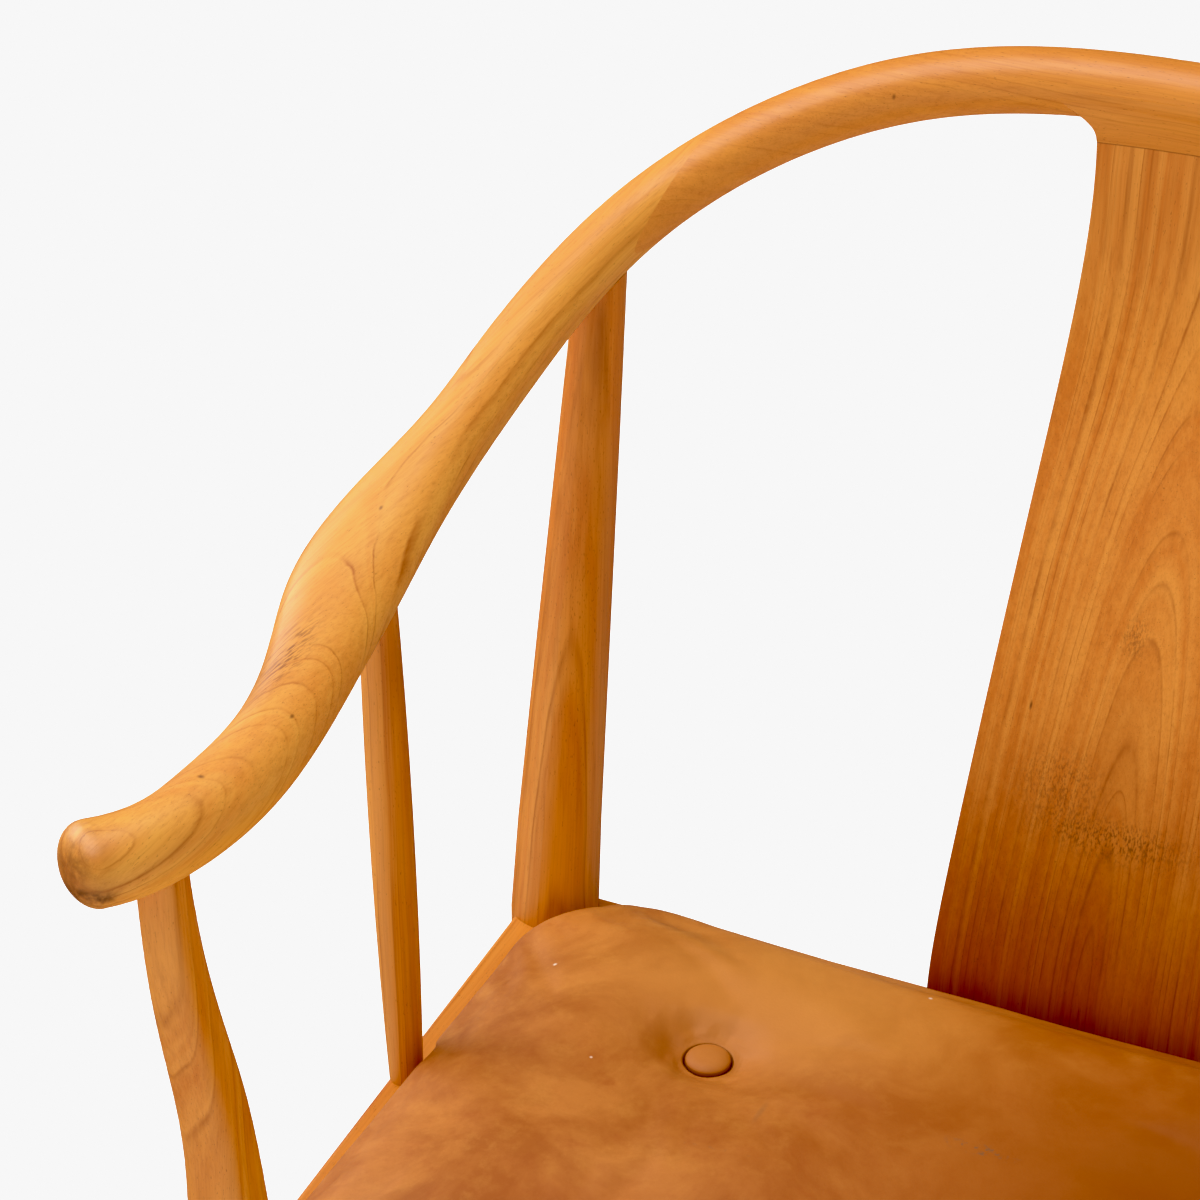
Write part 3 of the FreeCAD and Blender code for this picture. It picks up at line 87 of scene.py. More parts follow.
def length(name, description, millimetres):
    """Property that holds a length, given in millimetres and kept in metres."""
    return FloatProperty(
        name=name, description=description, unit="LENGTH", precision=5, default=millimetres / 1000,
    )


class ChairSizes(bpy.types.PropertyGroup):
    """Sizes of the finish, the sewing and the stage."""

    ring: length("Growth ring", "Usual width of a growth ring in the cherry", 8)
    bend: length("Bend", "How far apart the bends of a ring lie", 90.9)
    bend_long: length("Bend length", "How far apart a ring's bends lie along the grain", 250)
    cloud: length("Cloud", "Width of a cloud of colour in the wood", 29.41)
    cloud_long: length("Cloud length", "Length of a cloud of colour in the wood", 111.1)
    fade: length("Fade", "Width of a stretch in which ring lines fade", 16.67)
    fade_long: length("Fade length", "Length of a stretch in which ring lines fade", 71.43)
    fibre: length("Fibre", "Width of a fibre streak, drawn coarser than the real one", 0.7)
    fibre_long: length("Fibre length", "Length of a fibre streak", 55)
    pore: length("Pore", "Width of an open pore, drawn coarser than the real one", 0.4)
    pore_long: length("Pore length", "Length of an open pore", 2.6)
    streak: length("Streak", "Width of a dark streak in figured wood", 0.8)
    streak_long: length("Streak length", "Length of a dark streak in figured wood", 20)
    grime: length("Grime", "Width of a ragged patch of grime", 5.263)
    leather_cell: length("Leather grain", "Width of a cell of the leather's grain", 1.1)
    patina: length("Patina", "Width of a cloud in the leather's patina", 60)
    speckle: length("Speckle", "Width of a fine speckle in the leather", 5.882)
    scuff: length("Scuff", "Width of a speck in a scuff", 3.03)
    mesh_width: length("Cushion mesh", "Width of a face before the cushion is smoothed", 4.5)
    slack: length("Slack", "How much smaller the cushion starts before it is filled", 2.5)
    swell: length("Swell", "How far filling may move the leather", 4)
    clearance: length("Clearance", "Room kept between the leather and the wood", 0.6)
    tuft: length("Tuft", "Reach of the soft folds about a button", 42)
    lip: length("Lip", "How far the leather stands up about a button", 1.6)
    seam_up: length("Seam height", "Height of the sewn seam over the underside", 7)
    seam_deep: length("Seam depth", "How deep the seam is drawn in", 1.3)
    stitch: length("Stitch", "Length of one stitch", 3.6)
    stitch_pitch: length("Stitch spacing", "From one stitch to the next", 5.2)
    thread: length("Thread", "Thickness of the sewing thread", 0.8)
    lens: FloatProperty(name="Lens", description="Focal length", default=105.0, unit="CAMERA")
    azimuth: FloatProperty(
        name="Azimuth", description="Camera's turn to the chair's left", subtype="ANGLE",
        default=math.radians(23.69),
    )
    pitch: FloatProperty(
        name="Pitch", description="Camera's tilt below the level", subtype="ANGLE",
        default=math.radians(31.9),
    )
    roll: FloatProperty(
        name="Roll", description="Camera's lean about its own line of sight", subtype="ANGLE",
        default=math.radians(0.42),
    )
    eye: FloatVectorProperty(
        name="Camera place", description="Where the camera stands", subtype="TRANSLATION",
        default=(0.29588, -1.08431, 1.3915),
    )


class ChairColours(bpy.types.PropertyGroup):
    """Colours of the wood, the leather and the small parts."""

    honey: colour("Honey", "Light, sun-bleached cherry on the arms", "#D89540")
    gold: colour("Gold", "Darker cherry on the arms, and the crest's light wood", "#D18536")
    amber: colour("Amber", "Darker cherry on the crest", "#C87B33")
    copper: colour("Copper", "Light cherry of the splat and legs", "#D38736")
    russet: colour("Russet", "Red-brown cherry of the splat and legs", "#C26E24")
    # Painted shade: multiplied over the splat's foot, darker towards the seat, where the cushion
    # shades it
    shaded: colour("Shaded", "Tint of the cherry that the cushion has kept from the light", "#C8A050")
    umber: colour("Umber", "Late wood, the dark side of a growth ring", "#9A4F16")
    pore: colour("Pore", "Inside of the open pores", "#5F300F")
    # Also drawn as a dark ring in each button's groove, partly grime and partly painted shade
    grime_and_painted_shade: colour("Worn end grain", "Grime in the wood where hands rub", "#64371A")
    tan: colour("Tan", "Usual tan of the leather", "#BA7130")
    # Also painted light on the leather's back left corner
    fawn_and_painted_light: colour("Fawn", "Paler leather, where it has been rubbed", "#C8843A")
    cognac: colour("Cognac", "Darker leather where the patina gathers", "#A0571F")
    # Also drawn about each button, partly patina and partly painted shade on the dimple's slope
    oxblood_and_painted_shade: colour("Oxblood", "Red-brown leather where it is pulled in", "#943F14")
    # Partly wax and wear, partly painted shade on the seat's middle and right, where the splat shades
    # it
    saddle_and_shade: colour("Saddle", "Leather darkened by wax and use", "#8C4408")
    scuff: colour("Scuff", "Grey-brown scuffs on the leather", "#6B5138")
    bare: colour("Bare leather", "Undyed leather in small nicks", "#E6D3BC")
    thread: colour("Thread", "Waxed linen thread", "#8A5226")
    birch: colour("Birch", "Plywood under the cushion", "#C9A06A")
    beech: colour("Beech", "Corner blocks under the cushion", "#C08E5C")
    nylon: colour("Nylon", "Glides under the feet", "#1E1B19")
    zinc: colour("Zinc", "Plated screws", "#A9A9A5")
    floor: colour("Floor", "Studio floor", "#F4F3F3")


def add(tree, kind, inputs=None, stops=None, **settings):
    """Add a node with its settings.

    Inputs hold plain values or the sockets they come from, stops a ramp's places and greys."""
    made = tree.nodes.new(kind)
    for name, value in settings.items():
        setattr(made, name, value)
    for socket, value in (inputs or {}).items():
        if isinstance(value, bpy.types.NodeSocket):
            tree.links.new(value, made.inputs[socket])
        else:
            made.inputs[socket].default_value = value
    if stops:
        ramp = made.color_ramp
        while len(ramp.elements) < len(stops):
            ramp.elements.new(1)
        for element, (place, shade) in zip(ramp.elements, stops):
            element.position = place
            element.color = (shade, shade, shade, 1)
    return made


def blank_material(name):
    """New material with an empty node tree."""
    material = bpy.data.materials.new(name)
    material.use_nodes = True
    material.node_tree.nodes.clear()
    return material, material.node_tree


def dress(objects, material):
    """Give one material to whole pieces."""
    for piece in objects:
        piece.data.materials.clear()
        piece.data.materials.append(material)


# Wood

# The wider fibre streaks lie fewer to the metre than the narrow ones: shares of their number
WIDE_FIBRES = (0.33, 0.33, 0.4)
SEAM_SHADE = 0.5
# Flecks in the plain finishes are this much darker than the ground
FLECK_SHADE = 0.72


def near(tree, here, point, reach):
    """1 at a point, falling to 0 at its reach along x, y and z."""
    offset = add(tree, "ShaderNodeVectorMath", {0: here, 1: point}, operation="SUBTRACT").outputs[0]
    share = add(tree, "ShaderNodeVectorMath", {0: offset, 1: [1 / r for r in reach]},
                operation="MULTIPLY").outputs[0]
    away = add(tree, "ShaderNodeVectorMath", {0: share}, operation="LENGTH").outputs["Value"]
    return add(tree, "ShaderNodeMapRange", {0: away, 1: 1.0, 2: 0.0},
               interpolation_type="SMOOTHERSTEP").outputs[0]


def over(tree, below, above, *masks, blend="MIX"):
    """A colour laid over another where all of the masks let it through."""
    share = masks[0]
    for mask in masks[1:]:
        share = add(tree, "ShaderNodeMath", {0: share, 1: mask}, operation="MULTIPLY").outputs[0]
    return add(tree, "ShaderNodeMix", {0: share, 6: below, 7: above}, data_type="RGBA",
               blend_type=blend).outputs[2]


def across_and_along(width, long):
    """Scale that gives a pattern its width across the grain and its length along it."""
    return (1 / width, 1 / width, 1 / long)


def lacquered_cherry(log, sizes, colours):
    """Cherry sawn from one log, oiled by years of light and hands under a satin lacquer.

    To the eye: a warm ground in soft broad bands, thin broken ring lines, short dark pores
    along the grain, and a low gloss. The log lies in the pieces' own space, so a curved piece
    cuts across its rings as the real one does."""
    material, tree = blank_material(log.name)
    turn = Vector(log.grain).to_track_quat("Z", "Y").to_euler()
    here = add(tree, "ShaderNodeTexCoord").outputs["Object"]
    trunk = add(tree, "ShaderNodeMapping", {"Vector": here, "Location": log.pith, "Rotation": turn},
                vector_type="TEXTURE").outputs[0]
    # A trunk is never true: its rings wander slowly across it, and more slowly along it
    slow = add(tree, "ShaderNodeMapping", {
        "Vector": trunk, "Scale": across_and_along(sizes.bend, sizes.bend_long)}).outputs[0]
    stray = add(tree, "ShaderNodeTexNoise", {
        "Vector": slow, "Scale": 1, "Detail": 4, "Roughness": 0.45}).outputs["Color"]
    wander = log.wander * sizes.ring
    bent = add(tree, "ShaderNodeVectorMath", {0: stray, 1: (wander, wander, 0), 2: trunk},
               operation="MULTIPLY_ADD").outputs[0]
    across = add(tree, "ShaderNodeVectorMath", {0: bent, 1: (1, log.oval, 0)},
                 operation="MULTIPLY").outputs[0]
    radius = add(tree, "ShaderNodeVectorMath", {0: across}, operation="LENGTH").outputs["Value"]
    count = add(tree, "ShaderNodeMath", {0: radius, 1: 1 / (sizes.ring * log.ring)},
                operation="MULTIPLY").outputs[0]
    # Years differ, so some rings lie close together and others far apart
    years = add(tree, "ShaderNodeTexNoise", {"W": count, "Scale": 0.4, "Detail": 1},
                noise_dimensions="1D").outputs[0]
    uneven = add(tree, "ShaderNodeMath", {0: years, 1: 3.0, 2: count},
                 operation="MULTIPLY_ADD").outputs[0]
    share = add(tree, "ShaderNodeMath", {0: uneven}, operation="FRACT").outputs[0]
    late = add(tree, "ShaderNodeValToRGB", {0: share},
               stops=[(0.0, 0.0), (0.5, 0.06), (0.82, 0.22), (0.92, 1.0), (1.0, 0.0)]).outputs[0]
    # Broad bands of colour from group to group of rings, and clouds across them
    bands = add(tree, "ShaderNodeTexNoise", {
        "W": uneven, "Scale": log.band, "Detail": 3, "Roughness": 0.6},
        noise_dimensions="1D").outputs[0]
    cloud_at = add(tree, "ShaderNodeMapping", {
        "Vector": trunk, "Scale": across_and_along(sizes.cloud, sizes.cloud_long)}).outputs[0]
    clouds = add(tree, "ShaderNodeTexNoise", {"Vector": cloud_at, "Scale": 1, "Detail": 3}).outputs[0]
    mixed = add(tree, "ShaderNodeMath", {0: bands, 1: log.bands, 2: clouds},
                operation="MULTIPLY_ADD").outputs[0]
    middle = 0.5 * log.bands + 0.5
    ground = add(tree, "ShaderNodeMapRange", {
        0: mixed, 1: middle - 0.22, 2: middle + 0.22}).outputs[0]
    shade = over(tree, getattr(colours, log.light), getattr(colours, log.dark), ground)
    # Ring lines fade out and come back along the grain
    broken_at = add(tree, "ShaderNodeMapping", {
        "Vector": bent, "Scale": across_and_along(sizes.fade, sizes.fade_long)}).outputs[0]
    broken = add(tree, "ShaderNodeTexNoise", {"Vector": broken_at, "Scale": 1, "Detail": 2}).outputs[0]
    kept = add(tree, "ShaderNodeMapRange", {0: broken, 1: 0.36, 2: 0.66, 3: 0.15, 4: 1.0}).outputs[0]
    shade = over(tree, shade, colours.umber, late, kept, log.line)
    fibre_at = add(tree, "ShaderNodeMapping", {
        "Vector": bent, "Scale": across_and_along(sizes.fibre, sizes.fibre_long)}).outputs[0]
    fibres = add(tree, "ShaderNodeTexNoise", {
        "Vector": fibre_at, "Scale": 1, "Detail": 3, "Roughness": 0.6}).outputs[0]
    streaks = add(tree, "ShaderNodeMapRange", {
        0: fibres, 1: 0.46, 2: 0.76, 3: 0.0, 4: 0.3}).outputs[0]
    shade = over(tree, shade, colours.umber, streaks)
    wide_at = add(tree, "ShaderNodeMapping", {
        "Vector": fibre_at, "Scale": WIDE_FIBRES}).outputs[0]
    wide = add(tree, "ShaderNodeTexNoise", {"Vector": wide_at, "Scale": 1, "Detail": 2}).outputs[0]
    pale = add(tree, "ShaderNodeMapRange", {0: wide, 1: 0.5, 2: 0.75, 3: 0.0, 4: 0.35}).outputs[0]
    shade = over(tree, shade, getattr(colours, log.light), pale)
    dusky = add(tree, "ShaderNodeMapRange", {0: wide, 1: 0.5, 2: 0.28, 3: 0.0, 4: 0.18}).outputs[0]
    shade = over(tree, shade, colours.umber, dusky)
    # Painted shade: the splat's foot is drawn darker towards the seat, where the cushion shades it
    if "splat" in log.pieces:
        painted_seat_shade = near(tree, here, (0, 0.11, 0.42), (0.3, 0.3, 0.17))
        shade = over(tree, shade, colours.shaded, painted_seat_shade, blend="MULTIPLY")
    # Open pores lie in short dashes, thicker in some clouds than in others
    pore_at = add(tree, "ShaderNodeMapping", {
        "Vector": trunk, "Scale": across_and_along(sizes.pore, sizes.pore_long)}).outputs[0]
    pores = add(tree, "ShaderNodeTexNoise", {"Vector": pore_at, "Scale": 1, "Detail": 1}).outputs[0]
    crowded = add(tree, "ShaderNodeMath", {0: clouds, 1: 0.16, 2: pores},
                  operation="MULTIPLY_ADD").outputs[0]
    dashes = add(tree, "ShaderNodeMapRange", {0: crowded, 1: 0.77, 2: 0.83, 3: 0.0, 4: 0.5}).outputs[0]
    shade = over(tree, shade, colours.pore, dashes)
    # Dark streaks are the figure of the wood and grime is ragged. Tints and specks are plain
    streak_at = add(tree, "ShaderNodeMapping", {
        "Vector": bent, "Scale": across_and_along(sizes.streak, sizes.streak_long)}).outputs[0]
    streaky = add(tree, "ShaderNodeTexNoise", {
        "Vector": streak_at, "Scale": 1, "Detail": 2}).outputs[0]
    ragged = add(tree, "ShaderNodeTexNoise", {
        "Vector": here, "Scale": 1 / sizes.grime, "Detail": 4, "Roughness": 0.65}).outputs[0]
    pattern = {
        "streaks": add(tree, "ShaderNodeMapRange", {0: streaky, 1: 0.47, 2: 0.62}).outputs[0],
        "grime": add(tree, "ShaderNodeMapRange", {0: ragged, 1: 0.36, 2: 0.62}).outputs[0],
    }
    for mark in log.marks:
        shade = over(tree, shade, colours.umber if mark.kind == "tint" else colours.grime_and_painted_shade,
                     near(tree, here, mark.point, mark.reach), pattern.get(mark.kind, 1),
                     mark.strength)
    if log.seam:
        place = add(tree, "ShaderNodeSeparateXYZ", {0: here}).outputs
        joint = add(tree, "ShaderNodeMath", {0: place["Z"], 1: SPLAT_SEAM, 2: SEAM_LINE / 2},
                    operation="COMPARE").outputs[0]
        beside = add(tree, "ShaderNodeMath", {0: place["X"], 1: 0, 2: SPLAT_HIGH.x},
                     operation="COMPARE").outputs[0]
        shade = over(tree, shade, colours.grime_and_painted_shade, joint, beside, SEAM_SHADE)
    rough = add(tree, "ShaderNodeMapRange", {0: fibres, 1: 0.3, 2: 0.7, 3: 0.4, 4: 0.52}).outputs[0]
    relief = add(tree, "ShaderNodeMath", {0: dashes, 1: -1.6, 2: fibres},
                 operation="MULTIPLY_ADD").outputs[0]
    bump = add(tree, "ShaderNodeBump", {
        "Strength": 0.12, "Distance": 0.0002, "Height": relief}).outputs[0]
    shader = add(tree, "ShaderNodeBsdfPrincipled", {
        "Base Color": shade, "Roughness": rough, "Normal": bump, "IOR": 1.5,
        "Coat Weight": 0.07, "Coat Roughness": 0.2, "Coat IOR": 1.5,
    })
    add(tree, "ShaderNodeOutputMaterial", {"Surface": shader.outputs[0]})
    return material


# Worn and dark places: where, reach along x, y and z, how strong, and what they are
Mark = namedtuple("Mark", "point reach strength kind")
ARM_MARKS = (
    Mark((-0.2690, -0.2560, 0.660), (0.028, 0.022, 0.026), 0.75, "tint"),
    Mark((-0.2700, -0.2500, 0.664), (0.026, 0.026, 0.030), 0.45, "grime"),
    Mark((-0.2580, -0.2590, 0.657), (0.026, 0.012, 0.007), 1.00, "grime"),
    Mark((-0.2670, -0.2580, 0.668), (0.012, 0.010, 0.010), 0.55, "grime"),
    Mark((-0.2530, -0.1300, 0.6820), (0.014, 0.046, 0.020), 0.85, "streaks"),
    Mark((-0.2560, -0.1350, 0.6800), (0.016, 0.045, 0.020), 0.30, "tint"),
)
LEFT_ARM_MARKS = (
    Mark((-0.2459, -0.2024, 0.6782), (0.0024, 0.0018, 0.002), 0.8, "speck"),
    Mark((-0.2553, -0.0412, 0.7006), (0.0012, 0.0022, 0.002), 0.7, "speck"),
    Mark((-0.2340, -0.1561, 0.6786), (0.0012, 0.0022, 0.002), 0.8, "speck"),
    Mark((-0.2084, 0.1579, 0.7634), (0.0008, 0.0030, 0.002), 0.6, "speck"),
)
CREST_MARKS = (
    Mark((-0.1393, 0.2111, 0.7944), (0.0012, 0.0022, 0.002), 0.7, "speck"),
)
SPLAT_MARKS = (
    Mark((-0.0418, 0.1525, 0.5499), (0.0010, 0.003, 0.0035), 0.9, "speck"),
    Mark((0.0050, 0.1310, 0.5050), (0.060, 0.05, 0.015), 0.75, "streaks"),
    Mark((-0.0220, 0.1390, 0.5220), (0.034, 0.05, 0.024), 0.50, "streaks"),
    Mark((-0.0030, 0.1700, 0.5840), (0.010, 0.05, 0.014), 0.45, "streaks"),
    Mark((0.0000, 0.1450, 0.5400), (0.020, 0.06, 0.050), 0.22, "tint"),
)
SPINDLE_MARKS = (
    Mark((-0.2500, -0.0440, 0.6300), (0.012, 0.012, 0.045), 0.40, "tint"),
    Mark((-0.2470, -0.0330, 0.5350), (0.004, 0.008, 0.012), 0.80, "streaks"),
)


def mirrored(marks):
    """The same marks on the chair's other side."""
    return tuple(mark._replace(point=(-mark.point[0], *mark.point[1:])) for mark in marks)


# Which pieces are sawn from which log. The pith is a point on the log's middle line, light and
# dark are the colours of its ground, ring is the width of its rings as a share of the usual,
# oval their depth as a share of their width, wander how far they stray in ring widths, bands
# how strong the broad bands are and band how many of them a ring has, line how dark the ring
# lines are, and seam whether the seam between crest and splat shows on it. The usual values
# are those of the legs and rails
Log = namedtuple(
    "Log", "name pieces pith grain light dark ring oval wander bands band line marks seam",
    defaults=("copper", "russet", 1.0, 1.0, 1.5, 1.2, 0.7, 0.75, (), False))
BOW_LOGS = (
    Log("crest_cherry", ("crest_rail",), (0, 0.13, 0.60), (1, 0.02, 0), "gold", "amber",
        ring=0.8, wander=2.4, bands=0.8, band=0.9, line=0.4, marks=CREST_MARKS, seam=True),
    Log("left_arm_cherry", ("left_arm",), (-0.245, -0.05, 0.605), (-0.30, -0.90, -0.32),
        "honey", "gold", ring=0.65, wander=2.0, bands=0.8, band=0.9, line=0.85,
        marks=ARM_MARKS + LEFT_ARM_MARKS),
    Log("right_arm_cherry", ("right_arm",), (0.27, -0.05, 0.59), (0.22, -0.92, -0.30),
        "honey", "gold", ring=0.75, wander=2.0, bands=0.8, band=0.9, line=0.8,
        marks=mirrored(ARM_MARKS)),
)
FRAME_LOGS = (
    Log("splat_cherry", ("splat",), (0.001, 0.100, 0.430), (0, 0, 1),
        ring=0.42, oval=0.28, wander=0.7, bands=1.6, band=0.45, line=0.85,
        marks=SPLAT_MARKS, seam=True),
    Log("left_legs_cherry", ("front_left_leg", "back_left_leg"),
        (-0.20, -0.03, 0.3), (0.02, 0.03, 1)),
    Log("right_legs_cherry", ("front_right_leg", "back_right_leg"),
        (0.31, -0.06, 0.3), (-0.02, 0.02, 1)),
    Log("spindles_cherry", ("left_side_spindle", "right_side_spindle"),
        (0, 0.02, 0.5), (0, -0.03, 1), ring=0.6, bands=1.4, band=0.6, line=0.8,
        marks=SPINDLE_MARKS),
    Log("cross_rails_cherry", ("front_rail", "back_rail", "front_apron", "back_apron",
                               "front_stretcher", "back_stretcher"),
        (0, -0.05, 0.30), (1, 0.01, 0)),
    Log("side_rails_cherry", ("left_rail", "right_rail", "left_apron", "right_apron",
                              "left_stretcher", "right_stretcher"),
        (0.03, 0, 0.28), (0.01, 1, 0)),
)


def saw_and_lacquer(logs, context):
    """Dress the pieces of each log in its own cherry."""
    for log in logs:
        material = lacquered_cherry(log, context.scene.chair_sizes, context.scene.chair_colours)
        dress([frame["nodes"][piece] for piece in log.pieces], material)


class CHAIR_OT_bow_finish(bpy.types.Operator):
    """Lacquered cherry on the crest and the arms, lighter where the sun has bleached it"""

    bl_idname = "chair.bow_finish"
    bl_label = "Bow Finish"

    def execute(self, context):
        saw_and_lacquer(BOW_LOGS, context)
        return {"FINISHED"}


class CHAIR_OT_frame_finish(bpy.types.Operator):
    """Lacquered cherry on the splat, legs, spindles, rails, aprons and stretchers"""

    bl_idname = "chair.frame_finish"
    bl_label = "Frame Finish"

    def execute(self, context):
        saw_and_lacquer(FRAME_LOGS, context)
        return {"FINISHED"}


class CHAIR_OT_small_parts(bpy.types.Operator):
    """Plain finishes of what the cushion and the rails hide"""

    bl_idname = "chair.small_parts"
    bl_label = "Small Parts"

    def execute(self, context):
        colours = context.scene.chair_colours
        nodes = frame["nodes"]
        blocks = [n for n in nodes if n.endswith("_block")]
        glides = [n for n in nodes if n.endswith("_glide")]
        dowels = [n for n in nodes if n.endswith("_dowel")]
        # Name, pieces, colour, roughness, metallic and the size of a fleck in millimetres
        plain = (
            ("birch_plywood", ["seat_panel"], colours.birch, 0.6, 0, (25, 2.5, 2.5)),
            ("planed_beech", blocks + dowels, colours.beech, 0.55, 0, (2.5, 16.67, 2.5)),
            ("moulded_nylon", glides, colours.nylon, 0.45, 0, (1.11, 1.11, 1.11)),
            ("zinc_plated_steel", ["seat_panel_screws"], colours.zinc, 0.35, 1, (0.667,) * 3),
        )
        for name, pieces, shade, rough, metal, fleck in plain:
            material, tree = blank_material(name)
            here = add(tree, "ShaderNodeTexCoord").outputs["Object"]
            fleck_at = add(tree, "ShaderNodeMapping", {
                "Vector": here, "Scale": [1000 / size for size in fleck]}).outputs[0]
            flecks = add(tree, "ShaderNodeTexNoise", {
                "Vector": fleck_at, "Scale": 1, "Detail": 3}).outputs[0]
            darker = (*(FLECK_SHADE * share for share in shade[:3]), 1)
            mixed = over(tree, shade, darker, flecks)
            bump = add(tree, "ShaderNodeBump", {
                "Strength": 0.1, "Distance": 0.0002, "Height": flecks}).outputs[0]
            shader = add(tree, "ShaderNodeBsdfPrincipled", {
                "Base Color": mixed, "Roughness": rough, "Metallic": metal, "Normal": bump})
            add(tree, "ShaderNodeOutputMaterial", {"Surface": shader.outputs[0]})
            dress([nodes[piece] for piece in pieces], material)
        return {"FINISHED"}


# Leather

MERGE_DISTANCE = 0.00002
FILL_FRAMES = 20
FILL_PRESSURE = 4
# The filling can't move a band over the cushion's underside and a ring about each button
HELD_BAND, HELD_RING = 0.0015, 0.001
# How many places of the lifted cushion are kept clear of the wood
LIFT_STEPS = 7
# Soft waves in the sewn leather: height, width and seed. They die out beside the wood and
# towards the underside
SOFT_WAVES = ((0.0007, 0.075, 3), (0.0003, 0.028, 11))
WAVE_ROOM, WAVE_RISE = 0.004, 0.015
# About a button: wall of its groove, depth of its well, and width of the leather's lip
GROOVE_WALL, WELL_DEPTH, LIP_WIDTH = 0.0011, 0.0012, 0.008
# Where the groove's grime and painted shade lie: out from the button's edge, and to either side of
# that
GROOVE_DARK_OUT, GROOVE_DARK_REACH = 0.0004, 0.0007
# The leather that is refined about a button lies no deeper than this under its underside
TUFT_DEPTH = 0.004
# Folds about a tuft: direction in radians, width in radians and depth in metres
FOLDS = ((1.35, 0.12, 0.0007), (2.3, 0.20, 0.0005), (-0.75, 0.16, 0.0008), (-2.4, 0.22, 0.0004))
# From one button to the next the folds turn by so many radians
FOLD_TURN = 0.8
SEAM_TOLERANCE = 0.00005
RIM_BEVEL = 0.0006
# Rounds of a button's dome: inset as a share of its radius, rise as a share of its height
BUTTON_DOME = ((0.08, 0.17), (0.16, 0.17), (0.22, 0.10), (0.24, 0.05))

# Scuffs, specks and the short crease that sitting has left on the seat
SCUFFS = (
    Mark((0.003, -0.029, 0.4524), (0.024, 0.006, 0.02), 1.0, "scuff"),
    Mark((-0.0890, -0.0390, 0.4528), (0.0022, 0.013, 0.02), 0.25, "crease"),
    Mark((-0.0950, -0.0700, 0.4528), (0.035, 0.0014, 0.02), 0.3, "scuff"),
    Mark((-0.0515, 0.0658, 0.4435), (0.0014, 0.0014, 0.02), 0.9, "nick"),
    Mark((-0.2112, 0.0252, 0.4439), (0.0014, 0.0014, 0.02), 0.9, "nick"),
    Mark((-0.1668, -0.0356, 0.4498), (0.0010, 0.0010, 0.02), 0.9, "nick"),
)


